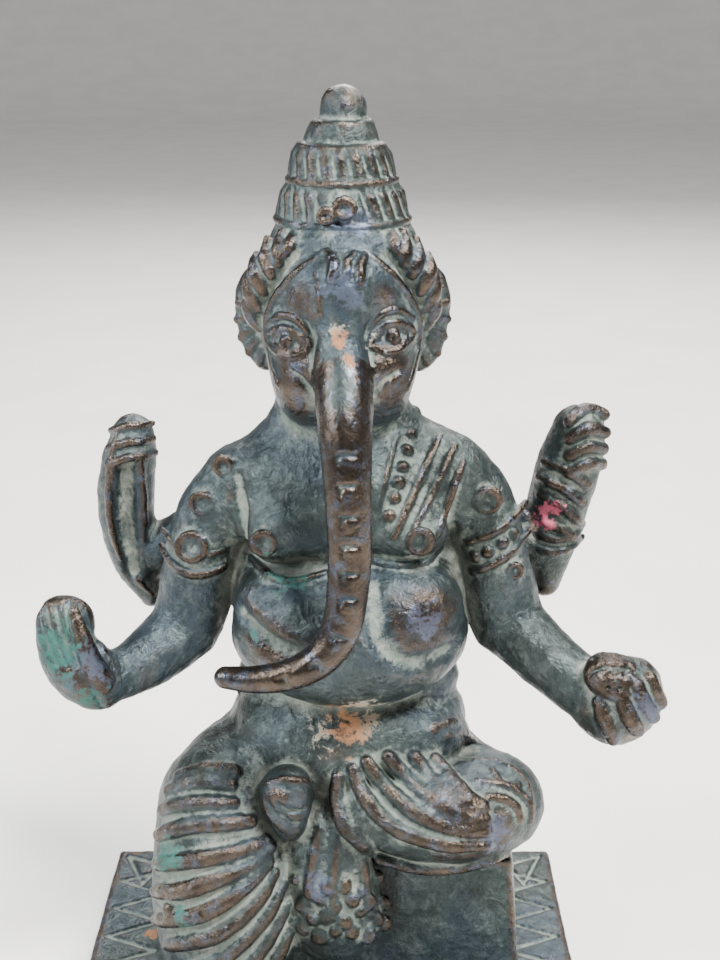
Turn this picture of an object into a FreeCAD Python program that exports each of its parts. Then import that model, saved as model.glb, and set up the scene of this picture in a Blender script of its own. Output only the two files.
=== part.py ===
"""Seated four-armed elephant-headed deity, a small solid lost-wax bronze, about 90 mm tall.

The figure is built up as its wax is: a plinth plate and a seat block, the hips, belly and chest,
two legs in a pleated dhoti, two pairs of arms, the head with its ears, trunk and eyes, and a turned
crown. Beads, bands and pleats are rolls of wax laid on those masses, so each is trimmed by the mass
that it lies on and meets it face to face.

Frame: +Z up, the figure faces -Y, and +X is its own left. The origin is on the underside of the
plinth, straight below the middle of the crown. Lengths are in millimetres. Left and right in names
are the figure's own.
"""

import FreeCAD
import Part
import Sketcher

import math
import os

doc = FreeCAD.newDocument("deity")
sheet = doc.addObject("Spreadsheet::Sheet", "Dims")
sub_parts = []
filled_rows = []
meshes = {}


# ---------------------------------------------------------------- the sheet

def add_cells(rows):
    """Adds (alias, number, note) rows to the sheet."""
    for alias, number, note in rows:
        filled_rows.append(alias)
        row = len(filled_rows)
        sheet.set(f"A{row}", alias)
        sheet.set(f"B{row}", str(number))
        sheet.setAlias(f"B{row}", alias)
        sheet.set(f"C{row}", note)


def dim(alias):
    """The number in a sheet cell."""
    return float(sheet.get(alias))


def bind(obj, **expressions):
    """Binds properties of obj to sheet expressions; a double underscore stands for a dot."""
    for prop, expression in expressions.items():
        obj.setExpression(prop.replace("__", "."), expression)


add_cells([
    ("base_width", 50.6, "plinth plate, across"),
    ("base_depth", 37.0, "plinth plate, front to back"),
    ("base_thickness", 2.6, "plinth plate"),
    ("base_shift_x", -1.5, "plate's middle from the crown's axis"),
    ("base_shift_y", -1.5, "plate's middle from the crown's axis"),
    ("base_corner", 3.2, "corner radius of the plate"),
    ("base_chamfer", 0.6, "worn upper edge of the plate"),
    ("petal_pitch", 6.2, "incised petals along each edge"),
    ("petal_rim", 1.2, "plain rim outside the petals"),
    ("petal_reach", 4.2, "how far a petal runs in from the rim"),
    ("petal_groove", 0.45, "width of an incised line"),
    ("petal_depth", 0.35, "depth of an incised line"),
    ("seat_top", 17.2, "height of the seat block's top"),
    ("seat_width", 34.8, "seat block at its foot"),
    ("seat_depth", 20.0, "seat block at its foot"),
    ("seat_taper", 4.0, "degrees that the block's sides lean in"),
    ("seat_corner", 1.2, "corner radius of the block"),
    ("seat_shift_x", 0.4, "seat block's middle"),
    ("seat_shift_y", 2.4, "seat block's middle"),
    ("crown_shift_y", 0.9, "crown's axis, behind the origin"),
    ("brim_foot", 75.4, "underside of the crown's brim"),
    ("brim_radius", 6.3, "brim at its foot"),
    ("brim_top_radius", 5.7, "brim where the first tier stands"),
    ("brim_height", 2.6, "brim"),
    ("tier_one_radius", 6.1, "widest ribbed tier"),
    ("tier_one_height", 3.4, "widest ribbed tier"),
    ("tier_two_radius", 4.95, "second ribbed tier"),
    ("tier_two_height", 2.9, "second ribbed tier"),
    ("tier_three_radius", 3.4, "plain tier"),
    ("tier_three_height", 2.2, "plain tier"),
    ("tier_soften", 0.8, "rounding of a tier's edges"),
    ("rib_groove", 0.28, "radius of the grooves between ribs"),
    ("finial_radius", 2.05, "ball of the finial"),
    ("finial_height", 2.6, "ball of the finial"),
    ("finial_soften", 1.1, "rounding of the ball"),
    ("stub_radius", 1.05, "worn stub on the ball"),
    ("stub_height", 1.1, "worn stub on the ball"),
    ("rosette_ring", 0.85, "rosette ring, to the middle of its wire"),
    ("rosette_wire", 0.28, "rosette wire's radius"),
    ("disc_radius", 1.3, "applied discs on chest and arms"),
    ("disc_proud", 0.4, "how far a disc stands out"),
    ("disc_seat", 1.5, "how far a disc is let in"),
    ("pleat_radius", 0.62, "rolls of the dhoti's pleats"),
    ("band_radius", 0.6, "rolls of the armbands"),
    ("thread_radius", 0.58, "rolls of the sacred thread"),
    ("fold_radius", 0.8, "roll under the chest"),
    ("belt_radius", 0.7, "roll round the waist"),
    ("brow_radius", 0.42, "ridge that frames the face"),
    ("mark_radius", 0.45, "ridges of the forehead mark"),
    ("lock_radius", 0.66, "rolls of hair over the ears"),
    ("bead_radius", 0.7, "beads of the shoulder garland"),
    ("finger_radius", 0.72, "fingers"),
    ("toe_radius", 0.45, "toe ridges of the pendant foot"),
    ("eye_ring", 1.35, "eye ring, to the middle of its wire"),
    ("eye_wire", 0.36, "eye ring's wire radius"),
    ("iris_radius", 0.75, "raised iris"),
])


# Each mass is a loft through stations along its centre line. A station is its centre's x, y and z,
# its half width and its half depth.
stations = {
    "dhoti_lap": [
        (0.3, 1.2, 17.2, 12.2, 9.0),
        (0.2, 0.6, 22.0, 13.2, 9.8),
        (0.2, 0.3, 26.5, 12.8, 9.0),
        (0.3, -0.4, 30.5, 11.7, 7.8),
        (0.4, -1.0, 33.5, 10.9, 7.2),
    ],
    "belly": [
        (0.4, -2.0, 31.0, 9.5, 6.2),
        (0.6, -3.4, 34.5, 11.3, 8.4),
        (0.6, -3.8, 38.5, 11.6, 9.0),
        (0.5, -3.4, 42.5, 11.2, 8.5),
        (0.3, -2.4, 46.5, 10.2, 7.2),
        (0.2, -1.7, 49.0, 9.8, 6.6),
    ],
    "chest": [
        (0.2, -1.6, 48.6, 10.0, 6.5),
        (0.2, -1.2, 52.0, 11.8, 6.9),
        (0.2, -0.5, 55.5, 13.0, 6.2),
        (0.2, 0.2, 58.2, 11.6, 5.2),
        (0.1, 0.6, 60.4, 8.2, 4.4),
    ],
    "neck": [
        (0.1, 0.6, 58.6, 8.2, 4.6),
        (0.1, 0.6, 61.4, 7.0, 4.8),
        (0.0, 0.6, 64.5, 6.2, 4.8),
    ],
    "folded_thigh": [
        (4.0, 1.5, 23.4, 6.0, 5.0),
        (9.5, -0.2, 23.6, 6.4, 5.2),
        (14.4, -2.2, 23.0, 5.6, 4.8),
    ],
    "folded_shin": [
        (1.4, -9.6, 23.4, 3.9, 2.8),
        (6.0, -9.0, 23.1, 4.8, 3.8),
        (11.0, -7.4, 22.9, 5.1, 4.4),
        (15.8, -5.2, 22.7, 4.6, 3.9),
    ],
    "pendant_thigh": [
        (-7.0, 2.0, 24.6, 6.2, 5.4),
        (-10.0, -3.0, 24.4, 7.0, 5.6),
        (-11.6, -7.6, 22.6, 6.6, 5.4),
    ],
    "pendant_shin": [
        (-11.8, -8.6, 20.5, 6.7, 5.2),
        (-12.4, -9.2, 15.5, 6.7, 4.8),
        (-12.6, -9.6, 10.5, 6.6, 4.4),
        (-12.4, -9.8, 6.8, 6.0, 4.2),
    ],
    "pendant_foot": [
        (-12.0, -10.6, 4.9, 3.4, 2.3),
        (-11.8, -13.0, 4.6, 3.3, 2.0),
        (-11.4, -16.6, 4.0, 2.9, 1.5),
    ],
    "dhoti_fall": [
        (-1.2, -9.0, 22.5, 3.4, 2.4),
        (-1.0, -9.6, 17.0, 4.0, 2.7),
        (-0.8, -9.8, 9.0, 4.6, 2.7),
    ],
    "folded_foot": [
        (-3.2, -9.8, 25.4, 2.6, 2.4),
        (-5.0, -10.6, 26.8, 2.7, 2.5),
    ],
    "front_right_upper_arm": [
        (-12.0, -0.4, 55.6, 3.6, 3.0),
        (-13.4, -0.8, 52.0, 4.1, 3.8),
        (-14.8, -1.4, 46.5, 3.8, 3.7),
        (-15.4, -2.0, 41.8, 3.7, 3.6),
    ],
    "front_right_forearm": [
        (-15.6, -2.8, 39.6, 3.6, 3.4),
        (-18.4, -4.6, 38.0, 3.7, 3.5),
        (-21.2, -6.4, 36.9, 3.5, 3.3),
    ],
    "front_right_hand": [
        (-23.4, -8.0, 35.6, 2.8, 2.2),
        (-24.7, -8.6, 39.0, 3.8, 2.3),
        (-25.7, -9.2, 42.4, 3.0, 1.9),
        (-26.1, -9.4, 44.4, 2.3, 1.5),
    ],
    "front_left_upper_arm": [
        (12.2, -0.4, 55.8, 3.6, 3.0),
        (13.8, -0.8, 52.2, 4.1, 3.7),
        (15.4, -1.4, 47.3, 3.8, 3.6),
        (16.4, -2.2, 43.2, 3.6, 3.5),
    ],
    "front_left_forearm": [
        (16.8, -3.0, 41.6, 3.5, 3.4),
        (19.8, -4.8, 39.1, 3.5, 3.4),
        (23.0, -6.6, 36.9, 3.4, 3.2),
    ],
    "head": [
        (0.0, -1.2, 62.2, 5.2, 5.2),
        (0.0, -1.8, 65.0, 6.6, 6.6),
        (0.0, -1.8, 68.5, 7.6, 7.3),
        (0.0, -1.2, 72.0, 7.5, 7.2),
        (0.0, -0.3, 74.8, 7.0, 6.7),
        (0.0, -0.1, 76.6, 6.3, 6.1),
    ],
    "trunk": [
        (-0.2, -7.4, 71.2, 2.6, 2.5),
        (-0.1, -9.8, 67.2, 2.7, 2.6),
        (-0.1, -11.6, 63.0, 2.45, 2.4),
        (0.1, -12.8, 58.5, 2.15, 2.1),
        (0.3, -13.6, 53.5, 1.95, 1.9),
        (0.6, -14.3, 49.0, 1.85, 1.8),
        (0.4, -14.8, 45.4, 1.75, 1.7),
        (-1.2, -15.0, 42.6, 1.65, 1.65),
        (-4.2, -14.9, 41.3, 1.5, 1.5),
        (-7.6, -14.6, 41.0, 1.35, 1.3),
        (-10.4, -14.2, 41.0, 1.15, 1.1),
    ],
    "rear_right_upper_arm": [
        (-10.4, 3.6, 54.0, 2.8, 2.6),
        (-14.8, 4.9, 50.2, 2.7, 2.5),
        (-18.8, 4.9, 46.6, 2.4, 2.2),
    ],
    "rear_left_upper_arm": [
        (10.4, 3.6, 54.0, 2.8, 2.6),
        (14.8, 4.9, 50.2, 2.7, 2.5),
        (18.8, 4.9, 46.6, 2.4, 2.2),
    ],
    "rear_right_raised_hand": [
        (-19.8, 4.2, 40.4, 1.3, 1.1),
        (-20.7, 4.3, 44.5, 2.6, 2.2),
        (-21.0, 4.3, 49.0, 3.2, 2.3),
        (-20.9, 4.2, 53.0, 3.2, 2.2),
        (-20.5, 4.1, 56.5, 2.7, 1.9),
        (-20.3, 4.0, 58.6, 1.7, 1.3),
    ],
    "rear_left_raised_hand": [
        (20.8, 4.2, 42.0, 1.3, 1.1),
        (20.6, 4.3, 45.8, 2.7, 2.2),
        (20.8, 4.3, 50.0, 3.4, 2.4),
        (21.8, 4.2, 54.5, 3.6, 2.3),
        (22.6, 4.1, 57.8, 3.1, 2.0),
        (23.0, 4.0, 59.8, 2.1, 1.4),
    ],
}

# The round masses: the centre's x, y and z, then the x, y and z radii.
rounds = {
    "front_left_hand": [(26.3, -8.4, 35.4, 4.1, 4.0, 4.4)],
    "sweet": [(25.6, -10.0, 38.0, 2.9, 2.6, 2.3)],
    "right_ear": [(-6.9, 1.6, 69.7, 3.3, 1.4, 5.2)],
    "left_ear": [(6.9, 1.6, 69.7, 3.3, 1.4, 5.2)],
}

for table, words in ((stations, ("x", "y", "z", "wide", "deep")),
                     (rounds, ("x", "y", "z", "wide", "deep", "tall"))):
    for name, rows in table.items():
        for number, row in enumerate(rows):
            add_cells([(f"{name}_{number}_{word}", length, "station of " + name)
                       for word, length in zip(words, row)])
doc.recompute()


# ---------------------------------------------------------------- shaping helpers

def vec(x, y, z):
    return FreeCAD.Vector(x, y, z)


def square_to(direction, across):
    """The turn that stands a section square to direction, its wide side nearest to across."""
    return FreeCAD.Rotation(vec(*across), vec(0, 0, 0), direction, "ZXY")


def keep(obj, label):
    """Names a finished sub-part and lists it for export."""
    obj.Label = label
    sub_parts.append(obj)
    return obj


def trimmed(name, form, masses):
    """form with the masses that it lies against cut away, so that they meet face to face."""
    result = form
    for number, mass in enumerate(masses):
        cut = doc.addObject("Part::Cut", f"{name}_trim_{number}")
        cut.Base = result
        cut.Tool = mass
        result = cut
    doc.recompute()
    return result


def grouped(name, members):
    """Several separate solids as one sub-part."""
    group = doc.addObject("Part::Compound", name + "_group")
    group.Links = members
    doc.recompute()
    return keep(group, name)


def limb(name, across=(1, 0, 0), domes=(True, True), masses=()):
    """A loft through a mass's stations, trimmed by the masses that it lies against.

    Its sections are ellipses square to the centre line, their width nearest to across. Where domes
    says so, an end closes with two smaller ellipses.
    """
    centres = [vec(*station[:3]) for station in stations[name]]
    last = len(centres) - 1

    def section(number, tag, direction, reach=0.0, share=1.0):
        cell = f"Dims.{name}_{number}"
        ellipse = doc.addObject("Part::Ellipse", f"{name}_section_{number}{tag}")
        ellipse.Placement = FreeCAD.Placement(vec(0, 0, 0), square_to(direction, across))
        bind(
            ellipse,
            MajorRadius=f"{cell}_wide * {share}",
            MinorRadius=f"{cell}_deep * {share}",
            Placement__Base__x=f"{cell}_x + {reach * direction.x:.5f} * {cell}_deep",
            Placement__Base__y=f"{cell}_y + {reach * direction.y:.5f} * {cell}_deep",
            Placement__Base__z=f"{cell}_z + {reach * direction.z:.5f} * {cell}_deep",
        )
        return ellipse

    sections = []
    for number in range(last + 1):
        direction = (centres[min(number + 1, last)] - centres[max(number - 1, 0)]).normalize()
        if number == 0 and domes[0]:
            sections.append(section(0, "_tip", direction, reach=-0.85, share=0.3))
            sections.append(section(0, "_dome", direction, reach=-0.55, share=0.78))
        sections.append(section(number, "", direction))
        if number == last and domes[1]:
            sections.append(section(last, "_dome", direction, reach=0.55, share=0.78))
            sections.append(section(last, "_tip", direction, reach=0.85, share=0.3))
    loft = doc.addObject("Part::Loft", name + "_form")
    loft.Sections = sections
    loft.Solid = True
    doc.recompute()
    return trimmed(name, loft, masses)


def ellipsoid(name, masses=(), seam=0):
    """A round mass, trimmed by the masses that it lies against; seam turns it about its own Z."""
    solid = doc.addObject("Part::Ellipsoid", name + "_form")
    solid.Placement.Rotation = FreeCAD.Rotation(vec(0, 0, 1), seam)
    cell = f"Dims.{name}_0"
    bind(
        solid,
        Radius1=f"{cell}_tall",
        Radius2=f"{cell}_wide",
        Radius3=f"{cell}_deep",
        Placement__Base__x=f"{cell}_x",
        Placement__Base__y=f"{cell}_y",
        Placement__Base__z=f"{cell}_z",
    )
    doc.recompute()
    return trimmed(name, solid, masses)


def roll(name, points, radius):
    """A round roll of wax bent through three points; radius is a sheet alias."""
    arc = Part.Arc(*points).toShape()
    bend = arc.Curve
    turn = FreeCAD.Rotation(points[0] - bend.Center, vec(0, 0, 0), bend.Axis, "ZXY")
    form = doc.addObject("Part::Torus", name + "_form")
    form.Placement = FreeCAD.Placement(bend.Center, turn)
    form.Radius1 = bend.Radius
    form.Angle3 = math.degrees(arc.Length / bend.Radius)
    bind(form, Radius2=f"Dims.{radius}")
    doc.recompute()
    return form


def facets(mass):
    """The mass as a fine mesh, kept so that it is only made once."""
    if mass.Name not in meshes:
        corners, triangles = mass.Shape.tessellate(0.05)
        meshes[mass.Name] = [tuple(corners[index] for index in triangle) for triangle in triangles]
    return meshes[mass.Name]


def depth_on_facet(facet, place, direction):
    """How far along direction from place a line crosses a facet, or None where it misses."""
    side_a, side_b = facet[1] - facet[0], facet[2] - facet[0]
    across = direction.cross(side_b)
    spread = side_a.dot(across)
    if abs(spread) < 1e-9:
        return None
    offset = place - facet[0]
    share_a = offset.dot(across) / spread
    turned_offset = offset.cross(side_a)
    share_b = direction.dot(turned_offset) / spread
    if share_a < 0 or share_b < 0 or share_a + share_b > 1:
        return None
    return side_b.dot(turned_offset) / spread


def surface_point(masses, place, toward):
    """Where a line along toward through place first meets the masses."""
    direction = vec(*toward).normalize()
    middle = vec(place[0], 0, place[1]) if len(place) == 2 else vec(*place)
    depths = []
    for mass in masses:
        for facet in facets(mass):
            depth = depth_on_facet(facet, middle, direction)
            if depth is not None:
                depths.append(depth)
    if not depths:
        raise ValueError(f"nothing lies behind {tuple(middle)}")
    return middle + direction * min(depths)


def laid_line(masses, places, toward, sink):
    """Three points laid on the masses; the first and last sink into them.

    places are x and z pairs, seen along toward, or whole points that toward moves onto the surface.
    """
    direction = vec(*toward).normalize()
    first, middle, last = [surface_point(masses, place, toward) for place in places]
    return [first + direction * sink, middle, last + direction * sink]


def rolls_on(name, masses, lines, radius, toward=(0, 1, 0), sink=0.4):
    """A group of rolls laid on masses and trimmed by them."""
    members = []
    for number, places in enumerate(lines):
        tag = f"{name}_{number}"
        form = roll(tag, laid_line(masses, places, toward, sink), radius)
        members.append(trimmed(tag, form, masses))
    return members


def discs_on(name, masses, places):
    """Applied discs, x and z pairs, square to the front and let into the masses."""
    members = []
    for number, place in enumerate(places):
        tag = f"{name}_{number}"
        face = surface_point(masses, place, (0, 1, 0))
        disc = doc.addObject("Part::Cylinder", tag + "_form")
        disc.Placement = FreeCAD.Placement(face, FreeCAD.Rotation(vec(1, 0, 0), -90))
        bind(
            disc,
            Radius="Dims.disc_radius",
            Height="Dims.disc_proud + Dims.disc_seat",
            Placement__Base__y=f"{face.y:.4f} - Dims.disc_proud",
        )
        members.append(trimmed(tag, disc, masses))
    return members


def other_side(places):
    """The same places on the figure's other side."""
    return [(-place[0], *place[1:]) for place in places]


# ---------------------------------------------------------------- sketch helpers

def origin_feature(body, role):
    """One of a body's own origin planes or axes."""
    return next(feature for feature in body.Origin.OriginFeatures if feature.Role == role)


def sketch_on(body, name, role, height=0.0):
    """A sketch on one of the body's origin planes, raised by height."""
    sketch = body.newObject("Sketcher::SketchObject", name)
    sketch.AttachmentSupport = [(origin_feature(body, role), "")]
    sketch.MapMode = "FlatFace"
    sketch.AttachmentOffset = FreeCAD.Placement(vec(0, 0, height), FreeCAD.Rotation())
    return sketch


def closed_outline(sketch, corners):
    """Straight sides through corners, joined end to end."""
    count = len(corners)
    for number, start in enumerate(corners):
        end = corners[(number + 1) % count]
        sketch.addGeometry(Part.LineSegment(vec(*start, 0), vec(*end, 0)), False)
    for number in range(count):
        following = (number + 1) % count
        sketch.addConstraint(Sketcher.Constraint("Coincident", number, 2, following, 1))


def named_size(sketch, label, kind, places, number, expression):
    """A driving constraint that the sheet sets."""
    index = sketch.addConstraint(Sketcher.Constraint(kind, *places, number))
    sketch.renameConstraint(index, label)
    sketch.setExpression(f"Constraints.{label}", expression)


def centred_rectangle(sketch, wide_alias, deep_alias):
    """A rectangle about the sketch's origin."""
    half_wide, half_deep = dim(wide_alias) / 2, dim(deep_alias) / 2
    closed_outline(sketch, [(-half_wide, -half_deep), (half_wide, -half_deep),
                            (half_wide, half_deep), (-half_wide, half_deep)])
    for side, direction in enumerate(("Horizontal", "Vertical", "Horizontal", "Vertical")):
        sketch.addConstraint(Sketcher.Constraint(direction, side))
    sketch.addConstraint(Sketcher.Constraint("Symmetric", 0, 1, 1, 2, -1, 1))
    named_size(sketch, "wide", "DistanceX", (0, 1, 0, 2), 2 * half_wide, f"Dims.{wide_alias}")
    named_size(sketch, "deep", "DistanceY", (1, 1, 1, 2), 2 * half_deep, f"Dims.{deep_alias}")


def upright_edges(shape):
    """The names of a prism's edges that run from its foot to its top."""
    names = []
    for number, edge in enumerate(shape.Edges):
        if abs(edge.tangentAt(edge.FirstParameter).z) > 0.9:
            names.append(f"Edge{number + 1}")
    return names


def place_body(body, **expressions):
    """Binds a body's position; each keyword is an axis."""
    for axis, expression in expressions.items():
        body.setExpression(f"Placement.Base.{axis}", expression)
    doc.recompute()


# ---------------------------------------------------------------- plinth and seat

def petal_row(body, side):
    """Triangular petals incised along one side of the plate; side 0 is the front, then round."""
    along, across = (dim("base_width"), dim("base_depth"))
    if side % 2:
        along, across = across, along
    pitch, groove = dim("petal_pitch"), dim("petal_groove")
    count = int((along - 2 * dim("petal_rim") - 2 * dim("petal_reach")) // pitch)
    outer = across / 2 - dim("petal_rim")
    inner = outer - dim("petal_reach")
    gap = 0.1
    start, end = -count * pitch / 2 + gap, -count * pitch / 2 + pitch - gap
    middle = (start + end) / 2
    chevron = [(start, inner), (middle, outer), (end, inner),
               (end - groove, inner), (middle, outer - 2 * groove), (start + groove, inner)]
    turn = math.radians(90 * side)
    corners = [(x * math.cos(turn) + y * math.sin(turn), x * math.sin(turn) - y * math.cos(turn))
               for x, y in chevron]
    lines = sketch_on(body, f"petal_lines_{side}", "XY_Plane", height=dim("base_thickness"))
    closed_outline(lines, corners)
    pocket = body.newObject("PartDesign::Pocket", f"petal_{side}")
    pocket.Profile = lines
    bind(pocket, Length="Dims.petal_depth")
    doc.recompute()
    row = body.newObject("PartDesign::LinearPattern", f"petals_{side}")
    row.Originals = [pocket]
    row.Direction = (lines, ["V_Axis" if side % 2 else "H_Axis"])
    row.Occurrences = count
    bind(row, Length=f"Dims.petal_pitch * {count - 1}")
    body.Tip = row
    doc.recompute()


def make_base_plate():
    """A plate with rounded corners, a worn edge and petals incised round its top."""
    body = doc.addObject("PartDesign::Body", "base_plate_body")
    outline = sketch_on(body, "base_outline", "XY_Plane")
    centred_rectangle(outline, "base_width", "base_depth")
    plate = body.newObject("PartDesign::Pad", "base_pad")
    plate.Profile = outline
    bind(plate, Length="Dims.base_thickness")
    doc.recompute()
    corners = body.newObject("PartDesign::Fillet", "base_corners")
    corners.Base = (plate, upright_edges(plate.Shape))
    bind(corners, Radius="Dims.base_corner")
    doc.recompute()
    top_edges = [f"Edge{number + 1}" for number, edge in enumerate(corners.Shape.Edges)
                 if abs(edge.BoundBox.ZMin - dim("base_thickness")) < 1e-6]
    worn = body.newObject("PartDesign::Chamfer", "base_worn_edge")
    worn.Base = (corners, top_edges)
    bind(worn, Size="Dims.base_chamfer")
    doc.recompute()
    for side in range(4):
        petal_row(body, side)
    place_body(body, x="Dims.base_shift_x", y="Dims.base_shift_y")
    return keep(body, "base_plate")


def make_seat_block():
    """The plain tapered block under the figure."""
    body = doc.addObject("PartDesign::Body", "seat_block_body")
    outline = sketch_on(body, "seat_outline", "XY_Plane")
    centred_rectangle(outline, "seat_width", "seat_depth")
    block = body.newObject("PartDesign::Pad", "seat_pad")
    block.Profile = outline
    bind(block, Length="Dims.seat_top - Dims.base_thickness", TaperAngle="-Dims.seat_taper")
    doc.recompute()
    soft = body.newObject("PartDesign::Fillet", "seat_corners")
    soft.Base = (block, upright_edges(block.Shape))
    bind(soft, Radius="Dims.seat_corner")
    place_body(body, x="Dims.seat_shift_x", y="Dims.seat_shift_y", z="Dims.base_thickness")
    return keep(body, "seat_block")


# ---------------------------------------------------------------- crown

def turned(name, foot_radius, top_radius, height, soften, foot):
    """A body turned about the crown's axis, its outer edges rounded.

    The sizes are sheet aliases, and foot is an expression for the height of its underside.
    """
    body = doc.addObject("PartDesign::Body", name + "_body")
    profile = sketch_on(body, name + "_profile", "XZ_Plane")
    low, high, tall = dim(foot_radius), dim(top_radius), dim(height)
    closed_outline(profile, [(0, 0), (low, 0), (high, tall), (0, tall)])
    profile.addConstraint(Sketcher.Constraint("Coincident", 0, 1, -1, 1))
    profile.addConstraint(Sketcher.Constraint("Horizontal", 0))
    profile.addConstraint(Sketcher.Constraint("Horizontal", 2))
    profile.addConstraint(Sketcher.Constraint("Vertical", 3))
    named_size(profile, "low", "DistanceX", (-1, 1, 1, 1), low, f"Dims.{foot_radius}")
    named_size(profile, "high", "DistanceX", (-1, 1, 2, 1), high, f"Dims.{top_radius}")
    named_size(profile, "tall", "DistanceY", (-1, 1, 2, 1), tall, f"Dims.{height}")
    spin = body.newObject("PartDesign::Revolution", name + "_turning")
    spin.Profile = profile
    spin.ReferenceAxis = (profile, ["V_Axis"])
    spin.Angle = 360
    doc.recompute()
    if soften:
        rims = [f"Edge{number + 1}" for number, edge in enumerate(spin.Shape.Edges)
                if isinstance(edge.Curve, Part.Circle)]
        rounded = body.newObject("PartDesign::Fillet", name + "_rounding")
        rounded.Base = (spin, rims)
        bind(rounded, Radius=f"Dims.{soften}")
    place_body(body, y="Dims.crown_shift_y", z=foot)
    return body


def cut_ribs(body, name, radius, count):
    """Grooves down the side of a turned tier, which leave ribs between them."""
    line = sketch_on(body, name + "_groove", "XY_Plane")
    line.addGeometry(Part.Circle(vec(dim(radius), 0, 0), vec(0, 0, 1), dim("rib_groove")), False)
    pocket = body.newObject("PartDesign::Pocket", name + "_groove_cut")
    pocket.Profile = line
    pocket.Type = "ThroughAll"
    pocket.Reversed = True
    doc.recompute()
    ring = body.newObject("PartDesign::PolarPattern", name + "_ribs")
    ring.Originals = [pocket]
    ring.Axis = (line, ["N_Axis"])
    ring.Angle = 360
    ring.Occurrences = count
    body.Tip = ring
    doc.recompute()


def make_crown(head):
    """Brim, two ribbed tiers, a plain tier, the finial and a rosette on the widest tier."""
    brim = turned("brim", "brim_radius", "brim_top_radius", "brim_height", None, "Dims.brim_foot")
    brim = keep(trimmed("brim", brim, [head]), "crown_brim")
    foot = "Dims.brim_foot + Dims.brim_height"
    tiers = []
    for name, ribs in (("tier_one", 34), ("tier_two", 28), ("tier_three", 0)):
        radius, height = name + "_radius", name + "_height"
        tier = turned(name, radius, radius, height, "tier_soften", foot)
        if ribs:
            cut_ribs(tier, name, radius, ribs)
        tiers.append(keep(tier, "crown_" + name))
        foot += f" + Dims.{height}"
    ball = turned("ball", "finial_radius", "finial_radius", "finial_height", "finial_soften", foot)
    foot += " + Dims.finial_height"
    stub = turned("stub", "stub_radius", "stub_radius", "stub_height", None, foot)
    finial = doc.addObject("Part::Fuse", "finial")
    finial.Base = ball
    finial.Tool = stub
    doc.recompute()
    keep(finial, "crown_finial")
    make_rosette(tiers[0])
    return brim


def make_rosette(tier):
    """Two wire rings on the front of a tier."""
    rings = []
    for number, (x, z, share) in enumerate(((0.2, 79.8, 1.0), (-1.4, 79.3, 0.8))):
        face = surface_point([tier], (x, z), (0, 1, 0))
        ring = doc.addObject("Part::Torus", f"rosette_ring_{number}")
        ring.Placement = FreeCAD.Placement(face, FreeCAD.Rotation(vec(1, 0, 0), 90))
        bind(ring, Radius1=f"Dims.rosette_ring * {share}", Radius2="Dims.rosette_wire")
        rings.append(trimmed(f"rosette_{number}", ring, [tier]))
    grouped("crown_rosette", rings)


# ---------------------------------------------------------------- trunk of the body

def make_lap(seat):
    """Hips and lap in a dhoti, sitting flat on the block."""
    lap = limb("dhoti_lap", domes=(False, False), masses=[seat])
    return keep(lap, "dhoti_lap")


def make_belly(lap):
    """The round belly, resting on the lap."""
    belly = limb("belly", domes=(True, False), masses=[lap])
    return keep(belly, "belly")


def make_chest(belly, head):
    """Chest and shoulders."""
    chest = limb("chest", domes=(False, False), masses=[belly, head])
    return keep(chest, "chest")


def make_neck(chest, head):
    """The short neck between chest and head."""
    neck = limb("neck", domes=(False, False), masses=[chest, head])
    return keep(neck, "neck")


def dress_torso(chest, belly, lap):
    """Folds, belt, discs, thread and garland laid on the chest and belly."""
    fold = rolls_on("fold", [belly, chest], [[(-7.8, 48.6), (0.2, 47.6), (8.4, 48.8)]], "fold_radius")
    grouped("under_chest_fold", fold)
    belt = rolls_on("belt", [belly, lap], [[(-9.6, 32.6), (0.4, 31.6), (10.2, 32.6)]], "belt_radius")
    grouped("waist_belt", belt)
    grouped("chest_discs", discs_on("chest_disc", [chest, belly], [(-7.2, 51.5), (7.4, 51.5)]))
    thread = rolls_on("thread", [chest], [
        [(7.8, 57.8), (6.0, 55.0), (3.6, 51.4)],
        [(9.8, 57.2), (8.2, 54.8), (6.2, 52.9)],
    ], "thread_radius")
    grouped("sacred_thread", thread)
    beads = []
    for number, (x, z) in enumerate(((3.2, 57.8), (4.6, 57.0), (3.2, 55.8), (3.6, 54.0))):
        face = surface_point([chest], (x, z), (0, 1, 0))
        bead = doc.addObject("Part::Sphere", f"bead_{number}")
        bead.Placement.Base = face
        bind(bead, Radius="Dims.bead_radius")
        beads.append(trimmed(f"bead_{number}", bead, [chest]))
    grouped("shoulder_garland", beads)


# ---------------------------------------------------------------- legs

def make_folded_leg(seat, lap):
    """The figure's left leg, folded flat on the seat: thigh out to the knee, shin back across."""
    thigh = limb("folded_thigh", across=(0, 1, 0), masses=[seat, lap])
    keep(thigh, "folded_thigh")
    shin = limb("folded_shin", across=(0, 0, 1), masses=[seat, lap, thigh])
    keep(shin, "folded_shin")
    return thigh, shin


def make_pendant_leg(base, seat, lap):
    """The figure's right leg, hanging over the block, its foot on the plinth."""
    thigh = limb("pendant_thigh", masses=[seat, lap])
    keep(thigh, "pendant_thigh")
    shin = limb("pendant_shin", masses=[seat, lap, thigh])
    keep(shin, "pendant_shin")
    foot = limb("pendant_foot", domes=(False, True), masses=[base, shin])
    keep(foot, "pendant_foot")
    toes = [[(x, -14.2, 0), (x, -16.0, 0), (x, -17.2, 0)] for x in (-13.3, -12.2, -11.1, -10.0)]
    members = rolls_on("toe", [foot], toes, "toe_radius", toward=(0, 0, -1), sink=0.2)
    grouped("pendant_toes", members)
    return thigh, shin


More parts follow.
